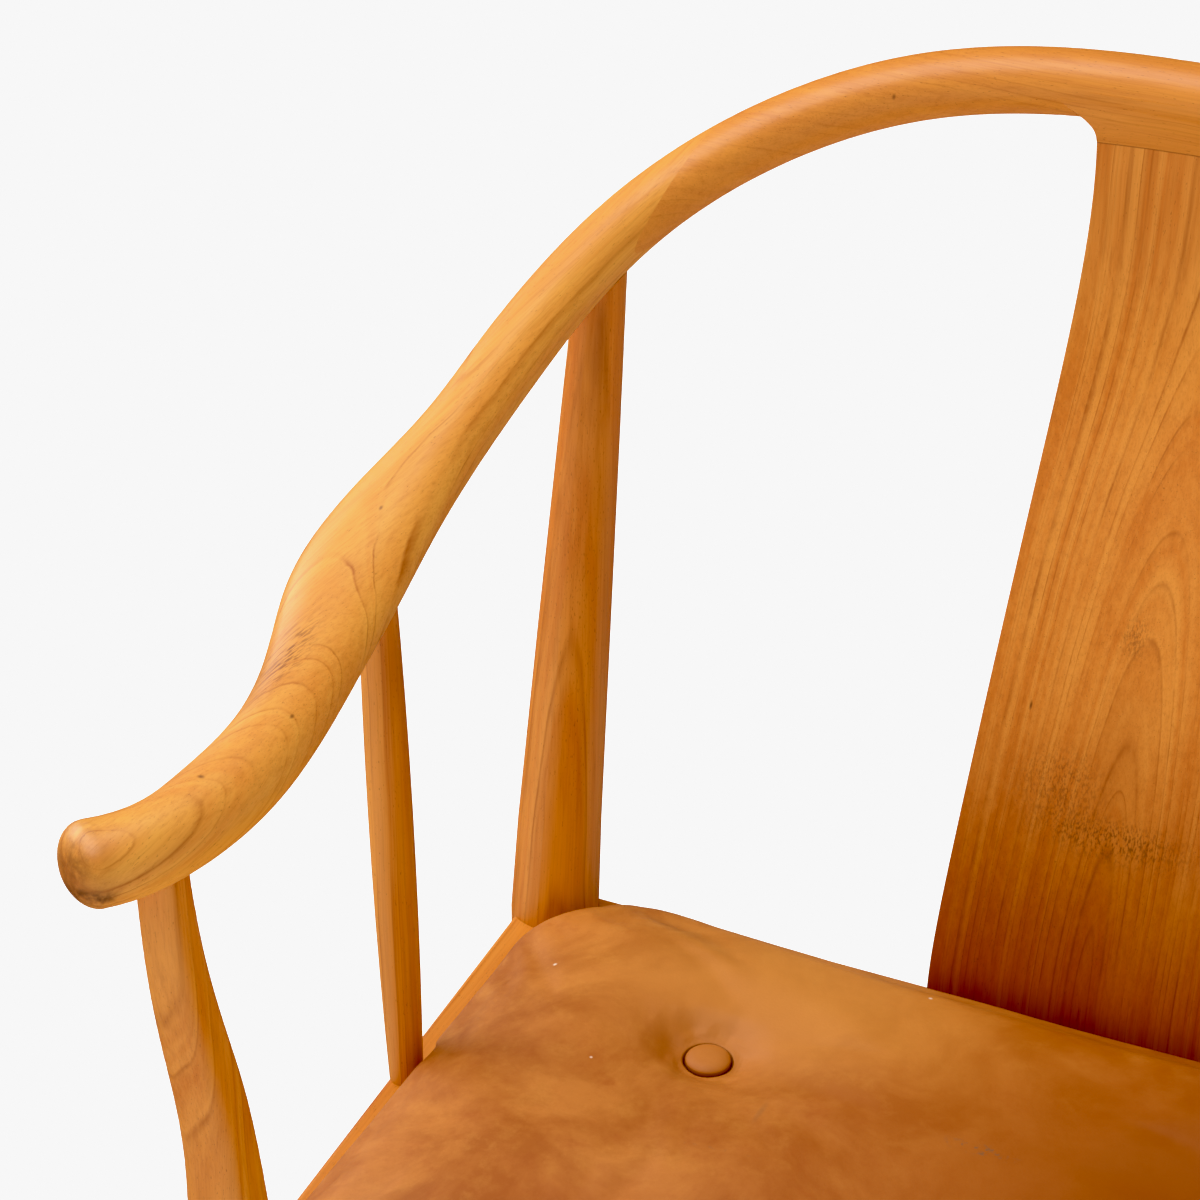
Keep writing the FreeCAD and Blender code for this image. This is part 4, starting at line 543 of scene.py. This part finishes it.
def tanned_leather(sizes, colours, buttons):
    """Vegetable-tanned cowhide, waxed and sat on for years.

    To the eye: a cloudy tan, redder and darker about the buttons (partly patina, partly painted
    shade), a fine pebbled grain that shows only in the gloss, a few scuffs, and a soft sheen. The
    seat's middle and right and each button's groove are darker, partly from wear and grime and partly
    from painted shade, and painted light makes the back left corner paler."""
    material, tree = blank_material("vegetable_tanned_leather")
    here = add(tree, "ShaderNodeTexCoord").outputs["Object"]
    clouds = add(tree, "ShaderNodeTexNoise", {
        "Vector": here, "Scale": 1 / sizes.patina, "Detail": 7, "Roughness": 0.66,
        "Distortion": 0.5}).outputs[0]
    cloudy = add(tree, "ShaderNodeMapRange", {0: clouds, 1: 0.4, 2: 0.6, 3: 0, 4: 1}).outputs[0]
    shade = over(tree, colours.tan, colours.cognac, cloudy)
    blotches = add(tree, "ShaderNodeTexNoise", {
        "Vector": here, "Scale": 3.2 / sizes.patina, "Detail": 7, "Roughness": 0.72}).outputs[0]
    pale = add(tree, "ShaderNodeMapRange", {0: blotches, 1: 0.52, 2: 0.7, 3: 0, 4: 0.42}).outputs[0]
    shade = over(tree, shade, colours.fawn_and_painted_light, pale)
    ruddy = add(tree, "ShaderNodeMapRange", {0: blotches, 1: 0.47, 2: 0.3, 3: 0, 4: 0.38}).outputs[0]
    shade = over(tree, shade, colours.oxblood_and_painted_shade, ruddy)
    fine = add(tree, "ShaderNodeTexNoise", {
        "Vector": here, "Scale": 1 / sizes.speckle, "Detail": 5, "Roughness": 0.7}).outputs[0]
    speckle = add(tree, "ShaderNodeMapRange", {0: fine, 1: 0.45, 2: 0.75, 3: 0, 4: 0.2}).outputs[0]
    shade = over(tree, shade, colours.cognac, speckle)
    # Redder and darker about each button, most just above it: partly patina in the tuft, partly
    # painted shade on the dimple's slope
    for point in buttons:
        pulled = near(tree, here, point + Vector((-0.004, 0.022, 0)), (0.075, 0.055, 0.06))
        shade = over(tree, shade, colours.oxblood_and_painted_shade, pulled, blotches)
    dots = add(tree, "ShaderNodeTexNoise", {
        "Vector": here, "Scale": 1 / sizes.scuff, "Detail": 3}).outputs[0]
    specks = add(tree, "ShaderNodeMapRange", {0: dots, 1: 0.54, 2: 0.66}).outputs[0]
    # Darker towards the seat's middle and right: partly wax and wear, partly painted shade where the
    # splat shades the seat
    wear_and_painted_shade = near(tree, here, (0.12, -0.05, CUSHION_HIGH.z), (0.32, 0.26, 0.2))
    shade = over(tree, shade, colours.saddle_and_shade, wear_and_painted_shade)
    # Painted light: the back left corner is drawn paler, where the light falls most on the seat
    painted_corner_light = near(tree, here, (-0.11, 0.04, CUSHION_HIGH.z), (0.16, 0.09, 0.2))
    shade = over(tree, shade, colours.fawn_and_painted_light, painted_corner_light, 0.6)
    for mark in SCUFFS:
        shade = over(tree, shade, colours.bare if mark.kind == "nick" else colours.scuff,
                     near(tree, here, mark.point, mark.reach),
                     specks if mark.kind == "scuff" else 1, mark.strength)
    # A dark ring in the groove round each button: partly grime, partly painted shade in the recess
    flat = add(tree, "ShaderNodeVectorMath", {0: here, 1: (1, 1, 0)}, operation="MULTIPLY").outputs[0]
    for point in buttons:
        out = add(tree, "ShaderNodeVectorMath", {0: flat, 1: (point.x, point.y, 0)},
                  operation="DISTANCE").outputs["Value"]
        groove = add(tree, "ShaderNodeMath", {0: out, 1: BUTTON_RADIUS + GROOVE_DARK_OUT, 2: GROOVE_DARK_REACH},
                     operation="COMPARE").outputs[0]
        shade = over(tree, shade, colours.grime_and_painted_shade, groove, 0.45)
    cells = add(tree, "ShaderNodeTexVoronoi", {"Vector": here, "Scale": 1 / sizes.leather_cell},
                feature="SMOOTH_F1").outputs["Distance"]
    relief = add(tree, "ShaderNodeMath", {0: fine, 1: 1.2, 2: cells},
                 operation="MULTIPLY_ADD").outputs[0]
    bump = add(tree, "ShaderNodeBump", {
        "Strength": 0.12, "Distance": 0.0003, "Height": relief}).outputs[0]
    rough = add(tree, "ShaderNodeMapRange", {0: clouds, 1: 0.3, 2: 0.7, 3: 0.66, 4: 0.56}).outputs[0]
    shader = add(tree, "ShaderNodeBsdfPrincipled", {
        "Base Color": shade, "Roughness": rough, "Normal": bump, "IOR": 1.46,
    })
    add(tree, "ShaderNodeOutputMaterial", {"Surface": shader.outputs[0]})
    return material


def waxed_thread(sizes, colours):
    """Three-ply waxed linen: its plies lie aslant across each stitch."""
    material, tree = blank_material("waxed_linen_thread")
    here = add(tree, "ShaderNodeTexCoord").outputs["Object"]
    plies = add(tree, "ShaderNodeTexWave", {"Vector": here, "Scale": 0.3 / sizes.thread},
                bands_direction="DIAGONAL").outputs["Color"]
    shade = over(tree, colours.thread, colours.cognac, plies)
    bump = add(tree, "ShaderNodeBump", {
        "Strength": 0.3, "Distance": 0.0001, "Height": plies}).outputs[0]
    shader = add(tree, "ShaderNodeBsdfPrincipled", {
        "Base Color": shade, "Roughness": 0.6, "Normal": bump})
    add(tree, "ShaderNodeOutputMaterial", {"Surface": shader.outputs[0]})
    return material


def button_points():
    """Middle of each button's underside."""
    points = []
    for name in BUTTONS:
        low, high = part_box(name)
        points.append(Vector(((low.x + high.x) / 2, (low.y + high.y) / 2, low.z)))
    return points


def make_active(piece):
    """Select one piece alone."""
    bpy.ops.object.select_all(action="DESELECT")
    piece.select_set(True)
    bpy.context.view_layer.objects.active = piece


def copy_of_node(node, name):
    """New piece with a merged copy of a CAD node's mesh."""
    source = frame["nodes"][node]
    piece = bpy.data.objects.new(name, source.data.copy())
    bpy.context.scene.collection.objects.link(piece)
    make_active(piece)
    bpy.ops.object.mode_set(mode="EDIT")
    bpy.ops.mesh.select_all(action="SELECT")
    bpy.ops.mesh.remove_doubles(threshold=MERGE_DISTANCE)
    bpy.ops.object.mode_set(mode="OBJECT")
    return piece


def apply_modifiers(piece):
    """Apply a piece's modifiers in their order."""
    make_active(piece)
    for modifier in list(piece.modifiers):
        bpy.ops.object.modifier_apply(modifier=modifier.name)


def read_points(piece):
    """Corners of a mesh, one row each."""
    points = np.empty(len(piece.data.vertices) * 3, np.float32)
    piece.data.vertices.foreach_get("co", points)
    return points.reshape(-1, 3).astype(np.float64)


def read_normals(piece):
    """Normals at the corners of a mesh, one row each."""
    normals = np.empty(len(piece.data.vertices) * 3, np.float32)
    piece.data.vertex_normals.foreach_get("vector", normals)
    return normals.reshape(-1, 3).astype(np.float64)


def write_points(piece, points):
    """Move the corners of a mesh."""
    piece.data.vertices.foreach_set("co", points.astype(np.float32).ravel())
    piece.data.update()


def select_faces(piece, wanted):
    """Select the faces whose middles and normals pass a test, and no others."""
    make_active(piece)
    bpy.ops.object.mode_set(mode="EDIT")
    bpy.ops.mesh.select_mode(type="FACE")
    bpy.ops.mesh.select_all(action="DESELECT")
    bpy.ops.object.mode_set(mode="OBJECT")
    for face in piece.data.polygons:
        face.select = wanted(face.center, face.normal)
    bpy.ops.object.mode_set(mode="EDIT")


def room_about(points):
    """Distance from each point to the wood beside it, in its place and while it is lifted out."""
    corners, faces = [], []
    lift = frame["joints"][0]["range_m"][1] if frame["joints"] else 0
    for name in WOOD_BESIDE:
        mesh = frame["nodes"][name].data
        for share in np.linspace(0, 1, LIFT_STEPS):
            first = len(corners)
            corners += [corner.co - Vector((0, 0, share * lift)) for corner in mesh.vertices]
            faces += [[first + i for i in face.vertices] for face in mesh.polygons]
    wood = BVHTree.FromPolygons(corners, faces)
    return np.array([wood.find_nearest(point)[3] for point in points])


def waves(points, width, seed):
    """Smooth heights between -1 and 1 that change over a width, the same in each run."""
    at = points / width
    return np.array([noise.noise(Vector(point) + Vector((seed, 0, 0))) for point in at])


def fill_cushion(cushion, sizes):
    """Fill the leather as cloth under pressure, held at its underside and at its tufts."""
    rest = read_points(cushion)
    low, high = CUSHION_LOW.z, CUSHION_HIGH.z
    held = rest[:, 2] < low + HELD_BAND
    for point in button_points():
        out = np.hypot(rest[:, 0] - point.x, rest[:, 1] - point.y)
        held |= (out < BUTTON_RADIUS + HELD_RING) & (rest[:, 2] > (low + high) / 2)
    slack = np.where(held, 0, sizes.slack)
    write_points(cushion, rest - read_normals(cushion) * slack[:, None])
    group = cushion.vertex_groups.new(name="held")
    group.add(np.flatnonzero(held).tolist(), 1.0, "REPLACE")
    cloth = cushion.modifiers.new("Filling", "CLOTH")
    cloth.settings.use_pressure = True
    cloth.settings.uniform_pressure_force = FILL_PRESSURE
    cloth.settings.vertex_group_mass = "held"
    cloth.settings.effector_weights.gravity = 0
    cloth.point_cache.frame_start, cloth.point_cache.frame_end = 1, FILL_FRAMES
    scene = bpy.context.scene
    for moment in range(1, FILL_FRAMES + 1):
        scene.frame_set(moment)
    apply_modifiers(cushion)
    scene.frame_set(1)
    move = read_points(cushion) - rest
    far = np.linalg.norm(move, axis=1)
    move *= (np.minimum(far, sizes.swell) / np.maximum(far, 1e-9))[:, None]
    room = np.clip((room_about(rest) - sizes.clearance) / sizes.swell, 0, 1)
    outwards = (move * read_normals(cushion)).sum(axis=1) > 0
    move *= np.where(outwards, room, 1)[:, None]
    write_points(cushion, rest + move)


def sew_tufts(cushion, sizes):
    """Refine the leather about each button, draw it down into a crisp groove and fold it softly."""
    for point in button_points():
        reach = BUTTON_RADIUS + LIP_WIDTH
        select_faces(cushion, lambda middle, normal: normal.z > 0 and middle.z > point.z - TUFT_DEPTH
                     and math.hypot(middle.x - point.x, middle.y - point.y) < reach)
        bpy.ops.mesh.subdivide(number_cuts=3, smoothness=0)
        bpy.ops.object.mode_set(mode="OBJECT")
    points = read_points(cushion)
    top = points[:, 2] > (CUSHION_LOW.z + CUSHION_HIGH.z) / 2
    for order, point in enumerate(button_points()):
        across = points[:, :2] - np.array(point[:2])
        out = np.linalg.norm(across, axis=1)
        edge = (out - BUTTON_RADIUS) / GROOVE_WALL
        lip = np.clip(1 - (out - BUTTON_RADIUS - GROOVE_WALL) / LIP_WIDTH, 0, 1)
        raised = points[:, 2] + sizes.lip * lip * lip * (3 - 2 * lip)
        # Folds fan out from the tuft, each a little unlike the next
        turn = np.arctan2(across[:, 1], across[:, 0])
        folds = np.zeros(len(points))
        for place, width, deep in FOLDS:
            off = np.angle(np.exp(1j * (turn - place - FOLD_TURN * order)))
            folds += deep * np.exp(-(off / width) ** 2)
        beyond = np.clip((out - BUTTON_RADIUS) / (sizes.tuft - BUTTON_RADIUS), 0, 1)
        raised -= folds * 4 * beyond * (1 - beyond) ** 2
        well = point.z - WELL_DEPTH
        wall = np.clip(edge, 0, 1)
        height = well + (raised - well) * wall * wall * (3 - 2 * wall)
        points[:, 2] = np.where(top & (out < sizes.tuft), height, points[:, 2])
    write_points(cushion, points)


def sew_seam(cushion, sizes):
    """Draw a sewn groove round the cushion, low on its sides; returns a curve in its bottom."""
    height = CUSHION_LOW.z + sizes.seam_up
    for up in (height + sizes.seam_deep, height - sizes.seam_deep, height):
        make_active(cushion)
        bpy.ops.object.mode_set(mode="EDIT")
        bpy.ops.mesh.select_all(action="SELECT")
        bpy.ops.mesh.bisect(plane_co=(0, 0, up), plane_no=(0, 0, 1))
        bpy.ops.object.mode_set(mode="OBJECT")
    points = read_points(cushion)
    on_seam = np.abs(points[:, 2] - height) < SEAM_TOLERANCE
    normals = read_normals(cushion)
    normals[:, 2] = 0
    points[on_seam] -= normals[on_seam] * sizes.seam_deep
    write_points(cushion, points)
    line = cushion.copy()
    line.data = cushion.data.copy()
    bpy.context.scene.collection.objects.link(line)
    make_active(line)
    bpy.ops.object.mode_set(mode="EDIT")
    bpy.ops.mesh.select_mode(type="VERT")
    bpy.ops.mesh.select_all(action="DESELECT")
    bpy.ops.object.mode_set(mode="OBJECT")
    line.data.vertices.foreach_set("select", ~on_seam)
    bpy.ops.object.mode_set(mode="EDIT")
    bpy.ops.mesh.delete(type="VERT")
    bpy.ops.object.mode_set(mode="OBJECT")
    bpy.ops.object.convert(target="CURVE")
    return line


def row_of_stitches(line, sizes):
    """One stitch, repeated along the seam at an even spacing."""
    bpy.ops.object.select_all(action="DESELECT")
    bpy.ops.mesh.primitive_cylinder_add(
        vertices=6, radius=sizes.thread / 2, depth=0.5 * sizes.stitch, rotation=(0, math.pi / 2, 0))
    stitch = bpy.context.object
    stitch.name = "cushion_stitching"
    bpy.ops.object.transform_apply(location=True, rotation=True, scale=True)
    # Each end bends in towards its needle hole
    for way in (1, -1):
        select_faces(stitch, lambda middle, normal: normal.x * way > 0.9)
        bpy.ops.mesh.extrude_region_move(
            TRANSFORM_OT_translate={"value": (way * 0.25 * sizes.stitch, 0, 0)})
        bpy.ops.transform.resize(value=(1, 0.5, 0.5))
        bpy.ops.object.mode_set(mode="OBJECT")
    around = line.data.splines[0].calc_length()
    number = round(around / sizes.stitch_pitch)
    row = stitch.modifiers.new("Row", "ARRAY")
    row.count = number
    row.use_relative_offset = False
    row.use_constant_offset = True
    row.constant_offset_displace = (around / number, 0, 0)
    run = stitch.modifiers.new("Along the seam", "CURVE")
    run.object = line
    apply_modifiers(stitch)
    bpy.data.objects.remove(line)
    bpy.ops.object.shade_smooth()
    return stitch


class CHAIR_OT_seat_cushion(bpy.types.Operator):
    """Leather seat cushion: the CAD form filled as cloth, its tufts and its seam drawn in"""

    bl_idname = "chair.seat_cushion"
    bl_label = "Seat Cushion"

    def execute(self, context):
        sizes, colours = context.scene.chair_sizes, context.scene.chair_colours
        cushion = copy_of_node("seat_cushion", "leather_seat_cushion")
        remesh = cushion.modifiers.new("Even mesh", "REMESH")
        remesh.mode = "VOXEL"
        remesh.voxel_size = sizes.mesh_width
        remesh.use_smooth_shade = True
        relax = cushion.modifiers.new("Relax", "SMOOTH")
        relax.factor = 0.5
        relax.iterations = 3
        form = cushion.modifiers.new("Back to the form", "SHRINKWRAP")
        form.target = frame["nodes"]["seat_cushion"]
        apply_modifiers(cushion)
        fill_cushion(cushion, sizes)
        finer = cushion.modifiers.new("Finer", "SUBSURF")
        finer.levels = finer.render_levels = 1
        apply_modifiers(cushion)
        points = read_points(cushion)
        room = np.clip((room_about(points) - sizes.clearance) / WAVE_ROOM, 0, 1)
        above = np.clip((points[:, 2] - CUSHION_LOW.z) / WAVE_RISE, 0, 1)
        soft = sum(high * waves(points, width, seed) for high, width, seed in SOFT_WAVES)
        write_points(cushion, points + read_normals(cushion) * (soft * room * above)[:, None])
        sew_tufts(cushion, sizes)
        line = sew_seam(cushion, sizes)
        make_active(cushion)
        bpy.ops.object.shade_smooth()
        cushion.vertex_groups.clear()
        leather = tanned_leather(sizes, colours, button_points())
        dress([cushion], leather)
        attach(cushion, "cushion")
        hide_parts("seat_cushion")
        stitches = row_of_stitches(line, sizes)
        dress([stitches], waxed_thread(sizes, colours))
        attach(stitches, "cushion")
        return {"FINISHED"}


class CHAIR_OT_buttons(bpy.types.Operator):
    """Four buttons covered in the cushion's leather"""

    bl_idname = "chair.buttons"
    bl_label = "Buttons"

    def execute(self, context):
        low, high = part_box(BUTTONS[0])
        first = button_points()[0]
        tall = high.z - low.z
        bpy.ops.object.select_all(action="DESELECT")
        bpy.ops.mesh.primitive_cylinder_add(
            vertices=32, radius=BUTTON_RADIUS, depth=0.5 * tall,
            location=first + Vector((0, 0, 0.25 * tall)))
        button = context.object
        bpy.ops.object.transform_apply(location=True, rotation=True, scale=True)
        # The cover domes over the shell in rounds, each less steep than the one before
        for inwards, upwards in BUTTON_DOME:
            select_faces(button, lambda middle, normal: normal.z > 0.99
                         and (middle - first).xy.length < 0.001)
            bpy.ops.mesh.inset(thickness=inwards * BUTTON_RADIUS, depth=upwards * tall)
            bpy.ops.object.mode_set(mode="OBJECT")
        rim = button.modifiers.new("Turned under", "BEVEL")
        rim.width = RIM_BEVEL
        rim.segments = 2
        rim.limit_method = "ANGLE"
        rim.angle_limit = math.radians(50)
        soft = button.modifiers.new("Soft", "SUBSURF")
        soft.levels = soft.render_levels = 1
        apply_modifiers(button)
        bpy.ops.object.shade_smooth()
        dress([button], bpy.data.materials["vegetable_tanned_leather"])
        for name, point in zip(BUTTONS, button_points()):
            cover = button
            if name != BUTTONS[0]:
                cover = bpy.data.objects.new(name, button.data.copy())
                context.scene.collection.objects.link(cover)
                cover.data.transform(Matrix.Translation(point - first))
            cover.name = "leather_" + name
            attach(cover, "cushion")
            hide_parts(name)
        return {"FINISHED"}


# Studio

# Soft boxes: name, place, what it points at, width and height, power in watts
STUDIO_LIGHTS = (
    ("top_softbox", (-0.8, -0.3, 2.3), (-0.1, 0, 0.6), (1.6, 1.6), 33),
    ("left_softbox", (-2.2, 0.5, 1.5), (0, 0, 0.6), (1.4, 1.2), 22),
)
FLOOR_SIZE = 30
FLOOR_GLOW = 0.75
# The backdrop beyond the floor is as white as the floor, and its light is softer
BACKDROP_LIGHT, BACKDROP_SEEN = 0.66, 1.2
# Camera: sensor in millimetres, and how near and far it sees
SENSOR_WIDTH = 36
SIGHT = (0.05, 60)
# The picture's tones: darks fall to black in each colour by itself, and paper white stays a
# little under full white
BLACK_LEVEL = (0.015, 0.021, 0.027)
MID_TONES = ((0.5, 0.5), (0.85, 0.83))
WHITE_TONE = (1.0, 0.93)


class CHAIR_OT_studio(bpy.types.Operator):
    """Pale floor, soft light and the camera"""

    bl_idname = "chair.studio"
    bl_label = "Studio"

    def execute(self, context):
        sizes, colours = context.scene.chair_sizes, context.scene.chair_colours
        bpy.ops.object.select_all(action="DESELECT")
        bpy.ops.mesh.primitive_plane_add(size=FLOOR_SIZE, location=(0, 0, 0))
        floor = context.object
        floor.name = "studio_floor"
        material, tree = blank_material("matt_paper")
        shader = add(tree, "ShaderNodeBsdfPrincipled", {
            "Base Color": colours.floor, "Roughness": 0.9, "Specular IOR Level": 0.1,
            "Emission Color": colours.floor, "Emission Strength": FLOOR_GLOW})
        add(tree, "ShaderNodeOutputMaterial", {"Surface": shader.outputs[0]})
        dress([floor], material)
        # Only the soft boxes show in the gloss, so that the colours stay full at the rims
        floor.visible_glossy = False
        world = bpy.data.worlds.new("Studio")
        world.use_nodes = True
        context.scene.world = world
        sky = world.node_tree.nodes["Background"]
        sky.inputs["Color"].default_value = (1, 1, 1, 1)
        seen = add(world.node_tree, "ShaderNodeLightPath").outputs["Is Camera Ray"]
        strength = add(world.node_tree, "ShaderNodeMapRange", {
            0: seen, 3: BACKDROP_LIGHT, 4: BACKDROP_SEEN}).outputs[0]
        world.node_tree.links.new(strength, sky.inputs["Strength"])
        world.cycles_visibility.glossy = False
        for name, place, aim, size, power in STUDIO_LIGHTS:
            bpy.ops.object.light_add(type="AREA", location=place)
            light = context.object
            light.name = name
            light.data.shape = "RECTANGLE"
            light.data.size, light.data.size_y = size
            light.data.energy = power
            light.rotation_euler = (Vector(aim) - Vector(place)).to_track_quat("-Z", "Y").to_euler()
        bpy.ops.object.camera_add(location=sizes.eye)
        camera = context.object
        camera.name = "photo_camera"
        camera.data.lens = sizes.lens
        camera.data.sensor_width = SENSOR_WIDTH
        camera.data.clip_start, camera.data.clip_end = SIGHT
        turn, tilt, lean = sizes.azimuth, sizes.pitch, sizes.roll
        ahead = Vector((-math.sin(turn) * math.cos(tilt), math.cos(turn) * math.cos(tilt),
                        -math.sin(tilt)))
        right = Vector((math.cos(turn), math.sin(turn), 0))
        upward = right.cross(ahead)
        right_leaned = math.cos(lean) * right + math.sin(lean) * upward
        up_leaned = -math.sin(lean) * right + math.cos(lean) * upward
        camera.rotation_euler = Matrix((right_leaned, up_leaned, -ahead)).transposed().to_euler()
        context.scene.camera = camera
        view = context.scene.view_settings
        view.view_transform = "Standard"
        view.use_curve_mapping = True
        view.curve_mapping.black_level = BLACK_LEVEL
        tones = view.curve_mapping.curves[3].points
        tones[1].location = WHITE_TONE
        for place in MID_TONES:
            tones.new(*place)
        view.curve_mapping.extend = "HORIZONTAL"
        view.curve_mapping.update()
        return {"FINISHED"}


class CHAIR_PT_sidebar(bpy.types.Panel):
    """Lists the steps in order, with the sizes and colours"""

    bl_idname = "CHAIR_PT_sidebar"
    bl_label = "Armchair"
    bl_space_type = "VIEW_3D"
    bl_region_type = "UI"
    bl_category = "Armchair"

    def draw(self, context):
        for step in STEPS:
            self.layout.operator(step)
        for group in (context.scene.chair_sizes, context.scene.chair_colours):
            column = self.layout.column(align=True)
            for name in group.bl_rna.properties.keys():
                if name not in ("rna_type", "name"):
                    column.prop(group, name)


STEPS = (
    "chair.bow_finish",
    "chair.frame_finish",
    "chair.small_parts",
    "chair.seat_cushion",
    "chair.buttons",
    "chair.studio",
)
CLASSES = (
    ChairSizes,
    ChairColours,
    CHAIR_OT_bow_finish,
    CHAIR_OT_frame_finish,
    CHAIR_OT_small_parts,
    CHAIR_OT_seat_cushion,
    CHAIR_OT_buttons,
    CHAIR_OT_studio,
    CHAIR_PT_sidebar,
)


def register():
    for item in CLASSES:
        bpy.utils.register_class(item)
    bpy.types.Scene.chair_sizes = PointerProperty(type=ChairSizes)
    bpy.types.Scene.chair_colours = PointerProperty(type=ChairColours)


def unregister():
    del bpy.types.Scene.chair_colours
    del bpy.types.Scene.chair_sizes
    for item in reversed(CLASSES):
        bpy.utils.unregister_class(item)


def main():
    register()
    for step in STEPS:
        group, name = step.split(".")
        getattr(getattr(bpy.ops, group), name)()


if __name__ == "__main__":
    main()
